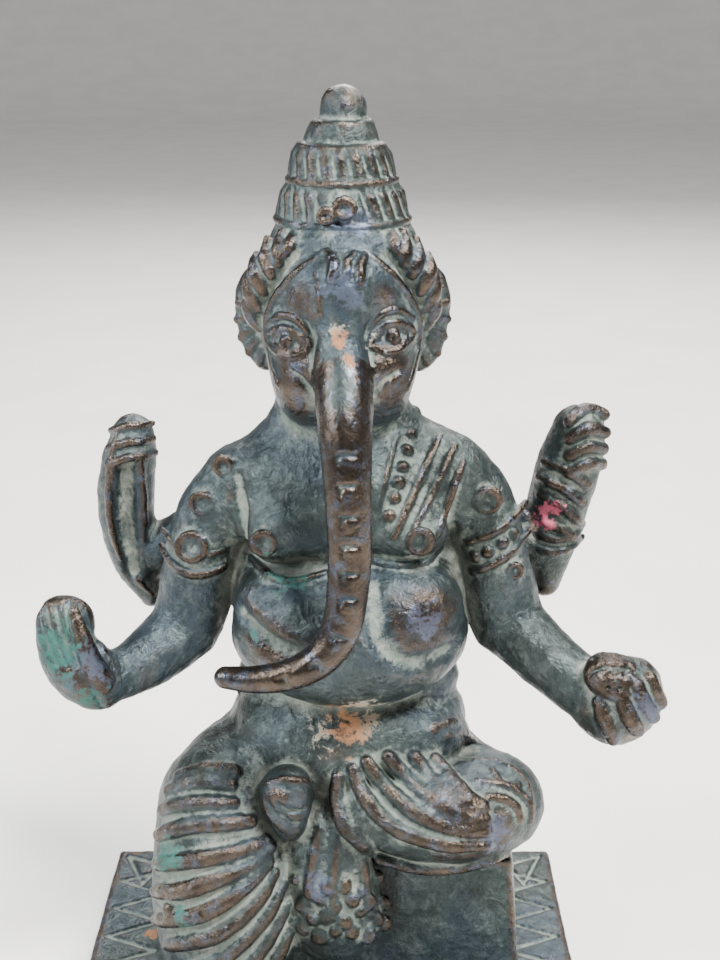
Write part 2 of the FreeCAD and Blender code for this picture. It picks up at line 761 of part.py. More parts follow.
def make_drapery(seat, lap, folded, pendant, shin):
    """The centre fall, the folded foot that shows beside it and the rolls of the pleats."""
    fall = limb("dhoti_fall", masses=[seat, lap, folded[1], shin])
    keep(fall, "dhoti_fall")
    foot = limb("folded_foot", across=(0, 1, 0), masses=[lap, pendant, fall])
    keep(foot, "folded_foot")

    knee_lines = [
        [(-14.2, 27.0), (-11.4, 28.0), (-8.4, 27.8)],
        [(-15.8, 24.8), (-12.4, 25.8), (-8.4, 25.8)],
        [(-16.8, 22.4), (-12.8, 23.2), (-8.2, 23.8)],
    ]
    shin_lines = [
        [(-17.2, 15.8), (-13.0, 16.6), (-8.2, 18.6)],
        [(-17.0, 12.6), (-12.6, 13.4), (-8.0, 16.2)],
        [(-16.4, 9.2), (-12.2, 10.2), (-7.8, 13.4)],
    ]
    pleats = rolls_on("knee_pleat", [pendant, shin], knee_lines, "pleat_radius")
    pleats += rolls_on("shin_pleat", [shin], shin_lines, "pleat_radius")
    grouped("pendant_pleats", pleats)
    folded_lines = [[(x, 26.4), (x + 1.0, 23.4), (x + 3.0, 20.4)] for x in (2.6, 5.2, 7.8, 10.4)]
    grouped("folded_pleats", rolls_on("folded_pleat", [folded[1]], folded_lines, "pleat_radius"))


# ---------------------------------------------------------------- arms

def make_front_right_arm(chest, belly):
    """The lowered arm that ends in a raised open hand."""
    upper = limb("front_right_upper_arm", across=(0, 1, 0), masses=[chest, belly])
    keep(upper, "front_right_upper_arm")
    forearm = limb("front_right_forearm", across=(0, 0, 1), masses=[upper])
    keep(forearm, "front_right_forearm")
    hand = limb("front_right_hand", masses=[forearm])
    keep(hand, "front_right_hand")
    thumb = rolls_on("right_thumb", [hand],
                     [[(-22.8, 36.4), (-23.2, 38.6), (-24.2, 41.0)]], "finger_radius")
    grouped("front_right_thumb", thumb)
    return upper


def make_front_left_arm(chest, belly):
    """The lowered arm whose closed hand holds a sweet."""
    upper = limb("front_left_upper_arm", across=(0, 1, 0), masses=[chest, belly])
    keep(upper, "front_left_upper_arm")
    forearm = limb("front_left_forearm", across=(0, 0, 1), masses=[upper])
    keep(forearm, "front_left_forearm")
    hand = ellipsoid("front_left_hand", masses=[forearm])
    keep(hand, "front_left_hand")
    sweet = ellipsoid("sweet", masses=[forearm, hand])
    keep(sweet, "sweet_ball")
    finger_lines = [[(x, 35.4), (x + 0.1, 33.9), (x - 0.4, 32.5)] for x in (24.2, 25.8, 27.4, 28.8)]
    fingers = rolls_on("left_finger", [hand], finger_lines, "finger_radius")
    grouped("front_left_fingers", fingers)
    return upper


def make_rear_arms(chest, belly, front_arms):
    """The two arms behind, each raised and ending in a hand that grips an attribute."""
    grips = {
        "right": [[(-22.2, 57.2), (-20.6, 57.9), (-19.0, 57.3)],
                  [(-22.6, 55.4), (-20.7, 56.1), (-18.6, 55.5)]],
        "left": [[(22.0, 59.2), (23.2, 58.9), (24.4, 59.5)],
                 [(21.8, 57.4), (23.4, 57.2), (24.9, 57.9)],
                 [(21.8, 55.6), (23.3, 55.4), (24.9, 56.1)],
                 [(21.8, 53.8), (23.2, 53.6), (24.7, 54.3)]],
    }
    for side, front_arm in (("right", front_arms[0]), ("left", front_arms[1])):
        name = f"rear_{side}"
        arm = limb(name + "_upper_arm", across=(0, 1, 0), masses=[chest, front_arm])
        keep(arm, name + "_upper_arm")
        hand = limb(name + "_raised_hand", masses=[arm, front_arm])
        keep(hand, name + "_raised_hand")
        fingers = rolls_on(name + "_finger", [hand], grips[side], "finger_radius")
        grouped(name + "_fingers", fingers)
    bands = rolls_on("wrist_band", [hand, arm], [
        [(18.4, 51.4), (20.6, 49.9), (23.0, 49.2)],
        [(18.4, 48.9), (20.4, 47.5), (22.6, 46.9)],
    ], "band_radius")
    grouped("rear_left_bangles", bands)


def dress_arms(right, left):
    """Armbands and applied discs on the lowered arms."""
    left_bands = rolls_on("left_band", [left], [
        [(12.6, 49.8), (15.0, 50.8), (17.4, 52.4)],
        [(13.2, 46.9), (15.4, 47.8), (18.2, 49.8)],
    ], "band_radius")
    grouped("front_left_armband", left_bands)
    right_bands = rolls_on("right_band", [right], [
        [(-16.6, 50.6), (-14.2, 50.4), (-11.6, 49.2)],
        [(-17.4, 46.6), (-14.4, 45.9), (-12.2, 46.2)],
    ], "band_radius")
    grouped("front_right_armband", right_bands)
    discs = discs_on("left_arm_disc", [left], [(14.0, 54.4)])
    discs += discs_on("right_arm_disc", [right], [(-13.4, 54.0), (-14.2, 48.3)])
    grouped("arm_discs", discs)


# ---------------------------------------------------------------- head

def make_head():
    """The head, narrow at the chin and broad at the brow."""
    head = limb("head", across=(0, 1, 0), domes=(True, False))
    return keep(head, "head")


def make_trunk(head):
    """The long tapering trunk, which hangs free of the chest and curls to the figure's right."""
    trunk = limb("trunk", across=(0, 1, 0), masses=[head])
    return keep(trunk, "trunk")


def make_ears(head):
    """Thin fan ears at the sides of the head."""
    for name, seam in (("right_ear", 180), ("left_ear", 0)):
        keep(ellipsoid(name, masses=[head], seam=seam), name)


def make_face(head, trunk):
    """Eyes, the ridge that frames the face, the forehead mark and the locks of hair."""
    for side, x in (("right", -4.4), ("left", 3.9)):
        face = surface_point([head], (x, 70.3), (0, 1, 0))
        ring = doc.addObject("Part::Torus", side + "_eye_ring")
        lean = FreeCAD.Rotation(vec(0, 0, 1), 28 * (1 if x > 0 else -1))
        ring.Placement = FreeCAD.Placement(face, lean * FreeCAD.Rotation(vec(1, 0, 0), 90))
        bind(ring, Radius1="Dims.eye_ring", Radius2="Dims.eye_wire")
        iris = doc.addObject("Part::Sphere", side + "_iris")
        iris.Placement.Base = face
        bind(iris, Radius="Dims.iris_radius")
        grouped(side + "_eye", [trimmed(side + "_eye_ring", ring, [head, trunk]),
                                trimmed(side + "_iris", iris, [head])])
    frame_line = [(1.6, 74.4), (4.9, 72.4), (6.0, 68.8)]
    ridges = rolls_on("face_ridge", [head], [frame_line, other_side(frame_line)], "brow_radius")
    grouped("face_ridge", ridges)
    mark_line = [(0.9, 74.4), (1.2, 73.4), (0.7, 72.2)]
    marks = rolls_on("forehead_mark", [head, trunk], [mark_line, other_side(mark_line)], "mark_radius")
    grouped("forehead_mark", marks)


def make_hair(head, brim):
    """Rolls of hair that sweep from the brim to the ears."""
    lines = [
        [(3.6, -5.6, 75.4), (4.8, -5.0, 74.6), (5.6, -4.4, 73.2)],
        [(4.6, -4.2, 75.4), (5.9, -3.6, 74.2), (6.6, -3.0, 72.2)],
        [(5.0, -2.6, 75.4), (6.5, -2.0, 73.8), (7.0, -1.4, 71.4)],
    ]
    for side, sign in (("right", -1), ("left", 1)):
        members = []
        for number, line in enumerate(lines):
            tag = f"{side}_lock_{number}"
            places = [(sign * x, y, z) for x, y, z in line]
            points = laid_line([head], places, (-sign, 0.6, 0), sink=0.4)
            form = roll(tag, points, "lock_radius")
            members.append(trimmed(tag, form, [head, brim]))
        grouped(side + "_hair_locks", members)


# ---------------------------------------------------------------- the whole figure

def make_figure():
    """Every sub-part, each after the masses that trim it."""
    base = make_base_plate()
    seat = make_seat_block()
    lap = make_lap(seat)
    belly = make_belly(lap)
    head = make_head()
    chest = make_chest(belly, head)
    make_neck(chest, head)
    trunk = make_trunk(head)
    folded = make_folded_leg(seat, lap)
    pendant, shin = make_pendant_leg(base, seat, lap)
    make_drapery(seat, lap, folded, pendant, shin)
    right_arm = make_front_right_arm(chest, belly)
    left_arm = make_front_left_arm(chest, belly)
    make_rear_arms(chest, belly, (right_arm, left_arm))
    dress_arms(right_arm, left_arm)
    dress_torso(chest, belly, lap)
    make_ears(head)
    make_face(head, trunk)
    brim = make_crown(head)
    make_hair(head, brim)


def check_and_export():
    """Stops on any broken object, then writes one file for each sub-part."""
    doc.recompute()
    for obj in doc.Objects:
        if "Invalid" in obj.State or "Error" in obj.State:
            raise RuntimeError(f"{obj.Name} ({obj.Label}) did not recompute: {obj.State}")
    for sub_part in sub_parts:
        if sub_part.Shape.isNull() or not sub_part.Shape.isValid():
            raise RuntimeError(f"{sub_part.Label} has no valid shape")
    for sub_part in sub_parts:
        sub_part.Shape.exportStep(os.path.join("parts", sub_part.Label + ".step"))


os.makedirs("parts", exist_ok=True)
make_figure()
check_and_export()
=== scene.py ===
"""Looks of a small seated Ganesha in old cast bronze, sculpted over its CAD parts.

Every CAD node is worked again as one closed surface. Each is a handful of lumps, ropes and cuts,
given in mm as offsets from the middle of that node's box. All of them are joined softly on one
lattice, as pieces of wax are pressed together before casting. Each piece then keeps the stretch of
skin that lies nearest to it.
"""

import math
from concurrent.futures import ThreadPoolExecutor

import bpy
import numpy as np
import openvdb
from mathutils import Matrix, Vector


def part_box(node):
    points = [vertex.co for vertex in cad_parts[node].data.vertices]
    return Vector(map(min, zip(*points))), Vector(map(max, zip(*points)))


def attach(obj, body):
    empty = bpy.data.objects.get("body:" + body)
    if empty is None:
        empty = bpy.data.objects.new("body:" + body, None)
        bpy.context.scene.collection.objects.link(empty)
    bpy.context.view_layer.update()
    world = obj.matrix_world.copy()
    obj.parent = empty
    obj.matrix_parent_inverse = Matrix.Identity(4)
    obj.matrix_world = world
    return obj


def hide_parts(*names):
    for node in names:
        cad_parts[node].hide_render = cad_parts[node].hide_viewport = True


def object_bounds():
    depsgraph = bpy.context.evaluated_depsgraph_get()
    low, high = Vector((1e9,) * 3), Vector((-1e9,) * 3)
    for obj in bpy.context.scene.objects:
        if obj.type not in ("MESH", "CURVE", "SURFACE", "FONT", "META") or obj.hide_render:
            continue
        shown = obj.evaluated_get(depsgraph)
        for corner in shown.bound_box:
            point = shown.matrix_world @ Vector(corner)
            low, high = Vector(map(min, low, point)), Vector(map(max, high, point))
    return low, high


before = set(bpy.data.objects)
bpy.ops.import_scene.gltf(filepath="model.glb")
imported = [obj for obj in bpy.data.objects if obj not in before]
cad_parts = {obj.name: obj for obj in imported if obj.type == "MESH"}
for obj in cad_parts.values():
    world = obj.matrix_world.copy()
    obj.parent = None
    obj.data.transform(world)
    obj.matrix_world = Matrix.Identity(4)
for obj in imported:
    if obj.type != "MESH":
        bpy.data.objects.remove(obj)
cad_low, cad_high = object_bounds()

MM = 0.001
WORKERS = 4

# ---------------------------------------------------------------- numbers of the skin, in mm

LATTICE_STEP = 0.2
LATTICE_MARGIN = 1.0
REACH = 1.5                # how far round a form its distances are worked out
FAR = 3.0                  # distance given to places where nothing is near
TUCK = 0.4                 # how far a piece runs on under its neighbours
TUCK_SLOPE = 0.35
PRESSED_USUAL = 0.3        # softness of the seam between pieces laid on one another
PRESSED_SOFT = 1.0         # softness of the seam between body parts
FINE_REACH = 0.6
BROAD_REACH = 1.2
PROUD_HEIGHT = 0.13
SWELL_HEIGHT = 0.40
NOOK_REACH = 2.0
NOOK_FULL = 1.6
# the same falloff shapes the wear patches and the painted bluish sheen
STAIN_AND_SHEEN_CORE = 1.35          # a stain is at full strength out to 0.35 of its reach
UNEVENNESS = ((0.15, 3.7, 1), (0.075, 1.3, 2), (0.045, 0.62, 3))   # height, wavelength, seed
LAID_TRAVEL = 16.0         # how far a place may move to land on a surface
LAID_STEP = 0.08

# ---------------------------------------------------------------- numbers of the pieces, in mm

# node, rise, radii, half height, ribs, rib depth
TIERS = (
    ("crown_tier_one", 0.9, (6.15, 6.15), 1.5, 24, 0.5),
    ("crown_tier_two", 1.15, (5.0, 5.0), 1.4, 20, 0.42),
    ("crown_tier_three", 1.0, (3.5, 3.5), 0.9, 9, 0.2),
)
EYE_POINTS = 14
RING_POINTS = 12
EAR_RIBS = 7
TRUNK_NICK_GAP = 1.9
PLEAT_WIDTH = 0.95
HEM_ROWS = 4
HEM_KNOBS = 6
TRIANGLE_WIDTH = 5.0
TRIANGLE_DEPTH = 5.4
TRIANGLE_INSET = 1.2
GROOVE_RADIUS = 0.3
FRONT = np.array([0.0, -1.0, 0.0])
# directions along which details are laid on the head, the chest and the legs
HEAD_SIGHT = (0, 1, -0.22)
CHEST_SIGHT = (0, 1, -0.42)
LEG_SIGHT = (0, 1, -0.62)

BODY_PARTS = (
    "neck", "chest", "belly", "dhoti_lap", "dhoti_fall", "seat_block", "crown_brim", "head", "trunk",
    "front_right_upper_arm", "front_right_forearm", "front_right_hand",
    "front_left_upper_arm", "front_left_forearm", "front_left_hand",
    "rear_right_upper_arm", "rear_right_raised_hand", "rear_left_upper_arm", "rear_left_raised_hand",
    "pendant_thigh", "pendant_shin", "folded_thigh", "folded_shin",
)
ROUGHNESS = {"trunk": 0.35, "base_plate": 0.5, "head": 0.7}

# ---------------------------------------------------------------- colours, stains, painted sheen and shade, and slots

USUAL_SLOT = "patinated_bronze"
HEAD_NODES = (
    "head", "face_ridge", "forehead_mark", "left_eye", "right_eye", "left_ear", "right_ear",
    "left_hair_locks", "right_hair_locks",
)
SLOTS = {
    "trunk": "polished_bronze",
    "base_plate": "plinth_bronze",
    **dict.fromkeys(HEAD_NODES, "head_bronze"),
}
# wear, dust and polish of each slot
SLOT_LOOKS = {
    "patinated_bronze": (0.0, 0.0, 0.26),
    "head_bronze": (0.25, 0.0, 0.26),
    "polished_bronze": (0.9, -0.3, 0.27),
    "plinth_bronze": (0.15, 0.0, 0.42),
}
BUMP_STRENGTH = 0.55
BUMP_DEPTH = 0.26

BROWN_METAL = (0.040, 0.030, 0.024, 1)
GOLDEN_METAL = (0.078, 0.058, 0.043, 1)
# bluish tint for bare metal: a painted sheen of reflected sky
PAINTED_SHEEN_METAL = (0.062, 0.072, 0.098, 1)
DARK_PATINA = (0.014, 0.020, 0.019, 1)
GREY_PATINA = (0.038, 0.054, 0.052, 1)
BLUE_PATINA = (0.028, 0.043, 0.060, 1)
PALE_PATINA = (0.125, 0.16, 0.15, 1)
GREEN_DUST = (0.14, 0.175, 0.15, 1)
CREAM_DUST = (0.25, 0.265, 0.22, 1)
# near-black colour of the painted shade laid into nooks and between parts
NOOK_SHADE = (0.018, 0.018, 0.016, 1)

# where each stain, wear patch and patch of painted bluish sheen lies: node, offset from the middle of its
# box, reach
STAINS_AND_SHEEN = {
    "verdigris": [
        ("front_right_hand", (-1.0, -2.0, 2.4), 4.2),
        ("front_right_hand", (1.6, -1.5, -2.6), 2.4),
        ("chest", (-6.4, -7.7, -5.6), 3.0),
        ("chest", (-3.8, -7.2, -6.3), 2.4),
        ("pendant_shin", (-4.2, -3.7, 8.1), 2.8),
        ("pendant_shin", (-2.6, -5.2, 2.7), 1.8),
        ("belly", (-9.2, -5.7, 3.4), 1.6),
    ],
    "rust": [
        ("waist_belt", (-0.1, -1.4, 1.6), 3.6),
        ("head", (-0.2, -8.4, 3.4), 1.5),
        ("head", (0.8, -9.0, 2.0), 1.1),
        ("base_plate", (-19.1, 2.5, 1.3), 1.3),
    ],
    "cream": [
        ("waist_belt", (1.3, -1.4, 2.4), 3.6),
        ("waist_belt", (-2.1, -1.6, 1.0), 3.0),
        ("head", (-0.6, -8.2, 4.0), 1.5),
        ("head", (3.4, -6.8, 2.4), 1.6),
    ],
    "pink": [
        ("rear_left_raised_hand", (-2.6, -3.1, -0.9), 2.2),
        ("rear_left_raised_hand", (-1.4, -2.9, 0.1), 1.5),
    ],
    # painted bluish sheen: reflected sky painted into the colour in patches
    "painted_sheen": [
        ("head", (0.4, -8.0, 7.4), 3.0),
        ("belly", (7.2, -6.8, 4.8), 3.0),
        ("front_right_hand", (1.9, -1.9, 1.4), 3.2),
        ("dhoti_fall", (-1.5, -2.2, 2.4), 2.6),
        ("crown_tier_one", (0.8, -5.9, -0.1), 2.6),
        ("folded_shin", (5.3, -4.7, 1.1), 2.6),
        ("front_left_hand", (1.3, -3.2, 1.2), 2.6),
    ],
    "dull": [
        ("trunk", (4.2, 0.5, 11.5), 3.6),
        ("head", (0.0, -8.4, 1.8), 3.0),
    ],
    "bare": [
        ("head", (-3.6, -7.1, -0.4), 3.6),
        ("head", (3.6, -7.1, -0.4), 3.6),
        ("head", (-4.6, -6.8, 5.4), 2.4),
        ("head", (4.8, -6.8, 5.4), 2.0),
        ("belly", (7.2, -6.8, 4.6), 3.4),
        ("belly", (-7.0, -7.2, 1.2), 3.0),
        ("pendant_shin", (-2.3, -5.2, 5.5), 4.2),
        ("folded_shin", (2.8, -5.2, 1.1), 4.6),
        ("front_left_hand", (0.1, -3.1, 0.6), 4.4),
        ("front_right_hand", (1.4, -1.9, 0.4), 3.0),
    ],
}
# kind of mark (stains and the painted bluish sheen), tint, edge, strength, shine
STAIN_AND_SHEEN_LOOKS = (
    # painted bluish sheen, laid on as a metallic tint
    ("painted_sheen", (0.082, 0.100, 0.155, 1), 0.60, 0.60, 0.85),
    ("verdigris", (0.012, 0.100, 0.080, 1), 0.70, 0.8, 0.2),
    ("cream", (0.40, 0.37, 0.29, 1), 0.66, 0.8, 0.0),
    ("rust", (0.30, 0.125, 0.045, 1), 0.62, 0.85, 0.0),
    ("pink", (0.55, 0.10, 0.17, 1), 0.62, 0.8, 0.0),
)

# ---------------------------------------------------------------- floor, light and camera settings

FLOOR_TONE = (0.74, 0.72, 0.69, 1)
FLOOR_TONE_TWO = (0.79, 0.77, 0.74, 1)
# name, metres from the middle of the figure, size, watts, tint
LIGHTS = (
    ("key", (0.15, -0.13, 0.34), 0.12, 6.2, (1.0, 0.985, 0.96)),
    ("left", (-0.30, -0.12, 0.20), 0.12, 2.6, (0.93, 0.965, 1.0)),
    ("back", (0.05, 0.34, 0.30), 0.24, 3.2, (1.0, 0.99, 0.97)),
)
WORLD_TINT = (0.82, 0.86, 0.92, 1)
WORLD_STRENGTH = 0.5
CAMERA_OFFSET = (0.7, -123.9, 52.4)   # mm from the middle of the figure
CAMERA_PITCH = 18.9
CAMERA_LENS = 52.5
CAMERA_SENSOR = 36.0


# ---------------------------------------------------------------- places on the CAD parts


def box_middle(node):
    """The middle of a CAD node's box, in mm."""
    low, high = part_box(node)
    return (np.array(low) + np.array(high)) / 2 / MM


MIDDLES = {node: box_middle(node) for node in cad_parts}


def near(node, *offsets):
    """Places given as mm offsets from the middle of a node's box. A fourth number, a radius, is kept."""
    centre = MIDDLES[node]
    return [tuple(centre + np.array(offset[:3])) + tuple(offset[3:]) for offset in offsets]


def across(node, depth, *offsets):
    """Places that share one depth, given as mm offsets in x and z from the middle of a node's box."""
    return near(node, *[(x, depth, z) for x, z in offsets])


def spot(node, offset):
    """One place, as a mm offset from the middle of a node's box."""
    return np.array(near(node, offset)[0][:3])


# ---------------------------------------------------------------- forms


class Bit:
    """A simple solid: the box it fills and its distance function."""

    def __init__(self, low, high, distance):
        self.low = np.array(low, float)
        self.high = np.array(high, float)
        self.distance = distance


class Form:
    """Bits that belong together, with the softness of their join. A cut is taken away, not added."""

    def __init__(self, bits, blend=0.5, cut=False):
        self.bits = bits
        self.blend = blend
        self.cut = cut
        self.low = np.min([bit.low for bit in bits], axis=0)
        self.high = np.max([bit.high for bit in bits], axis=0)


class Piece:
    """The wax of one CAD node."""

    def __init__(self, node, forms):
        self.node = node
        self.forms = forms
        added = [form for form in forms if not form.cut]
        self.low = np.min([form.low for form in added], axis=0) - REACH
        self.high = np.max([form.high for form in added], axis=0) + REACH


def smooth_lower(a, b, blend):
    """The lower of two distances, rounded off where they are close."""
    overlap = np.maximum(blend - np.abs(a - b), 0) / blend
    return np.minimum(a, b) - overlap * overlap * blend / 4


def turned_axes(turn):
    """Rows are the local axes of a lump turned by degrees about X, then Y, then Z."""
    a, b, c = (math.radians(degrees) for degrees in turn)
    about_x = np.array([[1, 0, 0], [0, math.cos(a), math.sin(a)], [0, -math.sin(a), math.cos(a)]])
    about_y = np.array([[math.cos(b), 0, -math.sin(b)], [0, 1, 0], [math.sin(b), 0, math.cos(b)]])
    about_z = np.array([[math.cos(c), math.sin(c), 0], [-math.sin(c), math.cos(c), 0], [0, 0, 1]])
    return about_x @ about_y @ about_z


def lump(place, radii, turn=(0, 0, 0), blend=0.8, cut=False):
    """An ellipsoid."""
    cx, cy, cz = place[:3]
    axes = turned_axes(turn)
    reach = np.sqrt(((axes * np.array(radii)[:, None]) ** 2).sum(axis=0))

    def distance(x, y, z):
        dx, dy, dz = x - cx, y - cy, z - cz
        if any(turn):
            dx, dy, dz = (row[0] * dx + row[1] * dy + row[2] * dz for row in axes)
        u, v, w = dx / radii[0], dy / radii[1], dz / radii[2]
        inside = np.sqrt(u * u + v * v + w * w)
        slope = np.sqrt((u / radii[0]) ** 2 + (v / radii[1]) ** 2 + (w / radii[2]) ** 2)
        return inside * (inside - 1) / np.maximum(slope, 1e-6)

    centre = np.array([cx, cy, cz])
    return Form([Bit(centre - reach, centre + reach, distance)], blend, cut)


def capsule(start, end):
    """A rod between two places with a radius at each, as (x, y, z, radius)."""
    start, end = np.array(start, float), np.array(end, float)
    along = end[:3] - start[:3]
    length_squared = max(float(along @ along), 1e-9)
    r0, r1 = start[3], end[3]

    def distance(x, y, z):
        dx, dy, dz = x - start[0], y - start[1], z - start[2]
        t = np.clip((dx * along[0] + dy * along[1] + dz * along[2]) / length_squared, 0, 1)
        ex, ey, ez = dx - along[0] * t, dy - along[1] * t, dz - along[2] * t
        return np.sqrt(ex * ex + ey * ey + ez * ez) - (r0 + (r1 - r0) * t)

    widest = max(r0, r1)
    low = np.minimum(start[:3], end[:3]) - widest
    high = np.maximum(start[:3], end[:3]) + widest
    return Bit(low, high, distance)


def flowing(places, spacing=0.7):
    """A smooth curve through places, as closer places."""
    knots = np.array(places, float)
    if len(knots) == 2:
        return knots
    padded = np.vstack([2 * knots[0] - knots[1], knots, 2 * knots[-1] - knots[-2]])
    curve = [knots[0]]
    for i in range(len(knots) - 1):
        a, b, c, d = padded[i:i + 4]
        count = max(1, int(np.linalg.norm(c[:3] - b[:3]) / spacing))
        for t in np.arange(1, count + 1) / count:
            curve.append(0.5 * (2 * b + (c - a) * t + (2 * a - 5 * b + 4 * c - d) * t * t
                                + (3 * b - a - 3 * c + d) * t ** 3))
    return np.array(curve)


def rope(places, blend=0.8, cut=False, spacing=0.7):
    """A round rope through places given as (x, y, z, radius)."""
    curve = flowing(places, spacing)
    return Form([capsule(a, b) for a, b in zip(curve[:-1], curve[1:])], blend, cut)


def mass(node, offset, radii, **kind):
    """An ellipsoid placed from the middle of a node's box."""
    return lump(spot(node, offset), radii, **kind)


def limb(node, *places, **kind):
    """A rope placed from the middle of a node's box."""
    return rope(near(node, *places), **kind)


def wax(**forms_of_nodes):
    """One piece for each node named."""
    return [Piece(node, forms) for node, forms in forms_of_nodes.items()]


def block(low, high, rounding, lean=0.0, blend=0.4, cut=False):
    """A box with rounded edges. Lean is how much narrower it gets per mm of height."""
    low, high = np.array(low, float), np.array(high, float)
    centre, half = (low + high) / 2, (high - low) / 2

    def distance(x, y, z):
        shrink = lean * (z - low[2])
        qx = np.abs(x - centre[0]) - (half[0] - shrink - rounding)
        qy = np.abs(y - centre[1]) - (half[1] - shrink - rounding)
        qz = np.abs(z - centre[2]) - (half[2] - rounding)
        outside = np.sqrt(np.maximum(qx, 0) ** 2 + np.maximum(qy, 0) ** 2 + np.maximum(qz, 0) ** 2)
        return outside + np.minimum(np.maximum(np.maximum(qx, qy), qz), 0) - rounding

    return Form([Bit(low, high, distance)], blend, cut)


def drum(place, radii, half_height, rounding, ribs=0, rib_depth=0.0, twist=0.0, tilt=0.0, flare=0.0,
         blend=0.4):
    """An upright oval drum, ribbed round its side. Tilt lowers its front, flare widens its foot."""
    cx, cy, cz = place[:3]

    def distance(x, y, z):
        dx, dy = x - cx, (y - cy) * radii[0] / radii[1]
        dz = z - cz - tilt * (y - cy)
        angle = np.arctan2(dx, -dy) + twist * dz
        outward = np.sqrt(dx * dx + dy * dy) - (radii[0] - rounding) + flare * (dz + half_height)
        if ribs:
            outward = outward + rib_depth * (1 - np.sqrt(np.abs(np.cos(angle * ribs / 2))))
        upward = np.abs(dz) - (half_height - rounding)
        beyond = np.sqrt(np.maximum(outward, 0) ** 2 + np.maximum(upward, 0) ** 2)
        return beyond + np.minimum(np.maximum(outward, upward), 0) - rounding

    rise = half_height + abs(tilt) * radii[1]
    size = np.array([radii[0], radii[1], rise])
    centre = np.array([cx, cy, cz])
    return Form([Bit(centre - size, centre + size, distance)], blend)


def wax_at(forms, x, y, z):
    """How far loose places are from the surface of joined forms."""
    total = np.full(np.broadcast(x, y, z).shape, 4 * FAR)
    for form in forms:
        here = np.minimum.reduce([bit.distance(x, y, z) for bit in form.bits])
        total = joined(total, here, form)
    return total


def joined(total, here, form):
    """Adds or cuts one form's distances into the ones already there."""
    if form.cut:
        return -smooth_lower(-total, here, form.blend)
    return smooth_lower(total, here, form.blend)


def laid(forms, line, look=(0, 1, 0), lift=0.0):
    """Moves a line of places on to the surface of forms, along the direction of look."""
    places = np.array([place[:3] for place in line], float)
    look = np.array(look, float) / np.linalg.norm(look)
    travel = np.arange(-LAID_TRAVEL, LAID_TRAVEL, LAID_STEP)
    probes = places[:, None, :] + travel[None, :, None] * look
    away = wax_at(forms, probes[..., 0], probes[..., 1], probes[..., 2])
    first = np.where((away < 0).any(axis=1), (away < 0).argmax(axis=1), away.argmin(axis=1))
    landed = places + (travel[first] - lift)[:, None] * look
    return [tuple(landing) + tuple(place[3:]) for landing, place in zip(landed, line)]


def ridge(forms, line, width, lift=0.0, blend=0.25, cut=False, look=(0, 1, 0), ends=0.45):
    """A rope of even width laid on a surface, thinner at its two ends."""
    dense = flowing([place[:3] for place in line], 1.0)
    laid_line = laid(forms, dense, look, lift)
    last = len(laid_line) - 1
    places = []
    for i, place in enumerate(laid_line):
        swell = math.sin(math.pi * (i + 0.5) / (last + 1)) ** 0.5
        places.append(place[:3] + (width * (ends + (1 - ends) * swell),))
    return rope(places, blend, cut)


# ---------------------------------------------------------------- the lattice


def lattice_span(low, high):
    """Whole lattice indices of a box, as slices start and stop."""
    start = np.maximum(np.floor((low - lattice_low) / LATTICE_STEP).astype(int), 0)
    stop = np.minimum(np.ceil((high - lattice_low) / LATTICE_STEP).astype(int) + 1, lattice_size)
    return start, stop


def coordinates(start, stop):
    """Three open coordinate arrays of a part of the lattice."""
    axes = [
        lattice_low[i] + LATTICE_STEP * np.arange(start[i], stop[i], dtype=np.float32)
        for i in range(3)
    ]
    return axes[0][:, None, None], axes[1][None, :, None], axes[2][None, None, :]


def window(start, stop, base):
    """Slices that pick a lattice span out of an array that begins at base."""
    return tuple(slice(max(a - c, 0), max(b - c, 0)) for a, b, c in zip(start, stop, base))


def cast(piece):
    """A piece's distances on its own part of the lattice."""
    start, stop = lattice_span(piece.low, piece.high)
    total = np.full(stop - start, FAR, np.float32)
    for form in piece.forms:
        a, b = lattice_span(form.low - REACH, form.high + REACH)
        a, b = np.maximum(a, start), np.minimum(b, stop)
        if (b <= a).any():
            continue
        here = np.full(b - a, FAR, np.float32)
        for bit in form.bits:
            c, d = lattice_span(bit.low - REACH, bit.high + REACH)
            c, d = np.maximum(c, a), np.minimum(d, b)
            if (d <= c).any():
                continue
            part = window(c, d, a)
            here[part] = np.minimum(here[part], bit.distance(*coordinates(c, d)))
        part = window(a, b, start)
        total[part] = joined(total[part], here, form)
    return start, stop, total


def joined_skin(pieces, casts):
    """All pieces joined into one skin on the whole lattice."""
    skin = np.full(lattice_size, FAR, np.float32)
    for piece, (start, stop, total) in zip(pieces, casts):
        part = window(start, stop, np.zeros(3, int))
        softness = PRESSED_SOFT if piece.node in BODY_PARTS else PRESSED_USUAL
        skin[part] = smooth_lower(skin[part], total, softness)
    return skin


def own_share(index, casts, skin):
    """The distances of one piece's share of the skin, tucked a little way under its neighbours."""
    start, stop, total = casts[index]
    others = np.full(total.shape, FAR, np.float32)
    for other, (a, b, field) in enumerate(casts):
        c, d = np.maximum(a, start), np.minimum(b, stop)
        if other == index or (d <= c).any():
            continue
        here = window(c, d, start)
        others[here] = np.minimum(others[here], field[window(c, d, a)])
    claim = total - others
    tucked = skin[window(start, stop, np.zeros(3, int))] + TUCK_SLOPE * np.maximum(claim, 0)
    return np.maximum(tucked, claim - TUCK)


def box_blur(field, reach):
    """Evens a field out over a cube that reaches some lattice steps to each side."""
    for axis in range(3):
        padding = [(reach + 1, reach) if i == axis else (0, 0) for i in range(3)]
        running = np.cumsum(np.pad(field, padding, mode="edge"), axis=axis, dtype=np.float64)
        size = field.shape[axis]
        upper = np.take(running, np.arange(2 * reach + 1, 2 * reach + 1 + size), axis=axis)
        lower = np.take(running, np.arange(0, size), axis=axis)
        field = ((upper - lower) / (2 * reach + 1)).astype(np.float32)
    return field


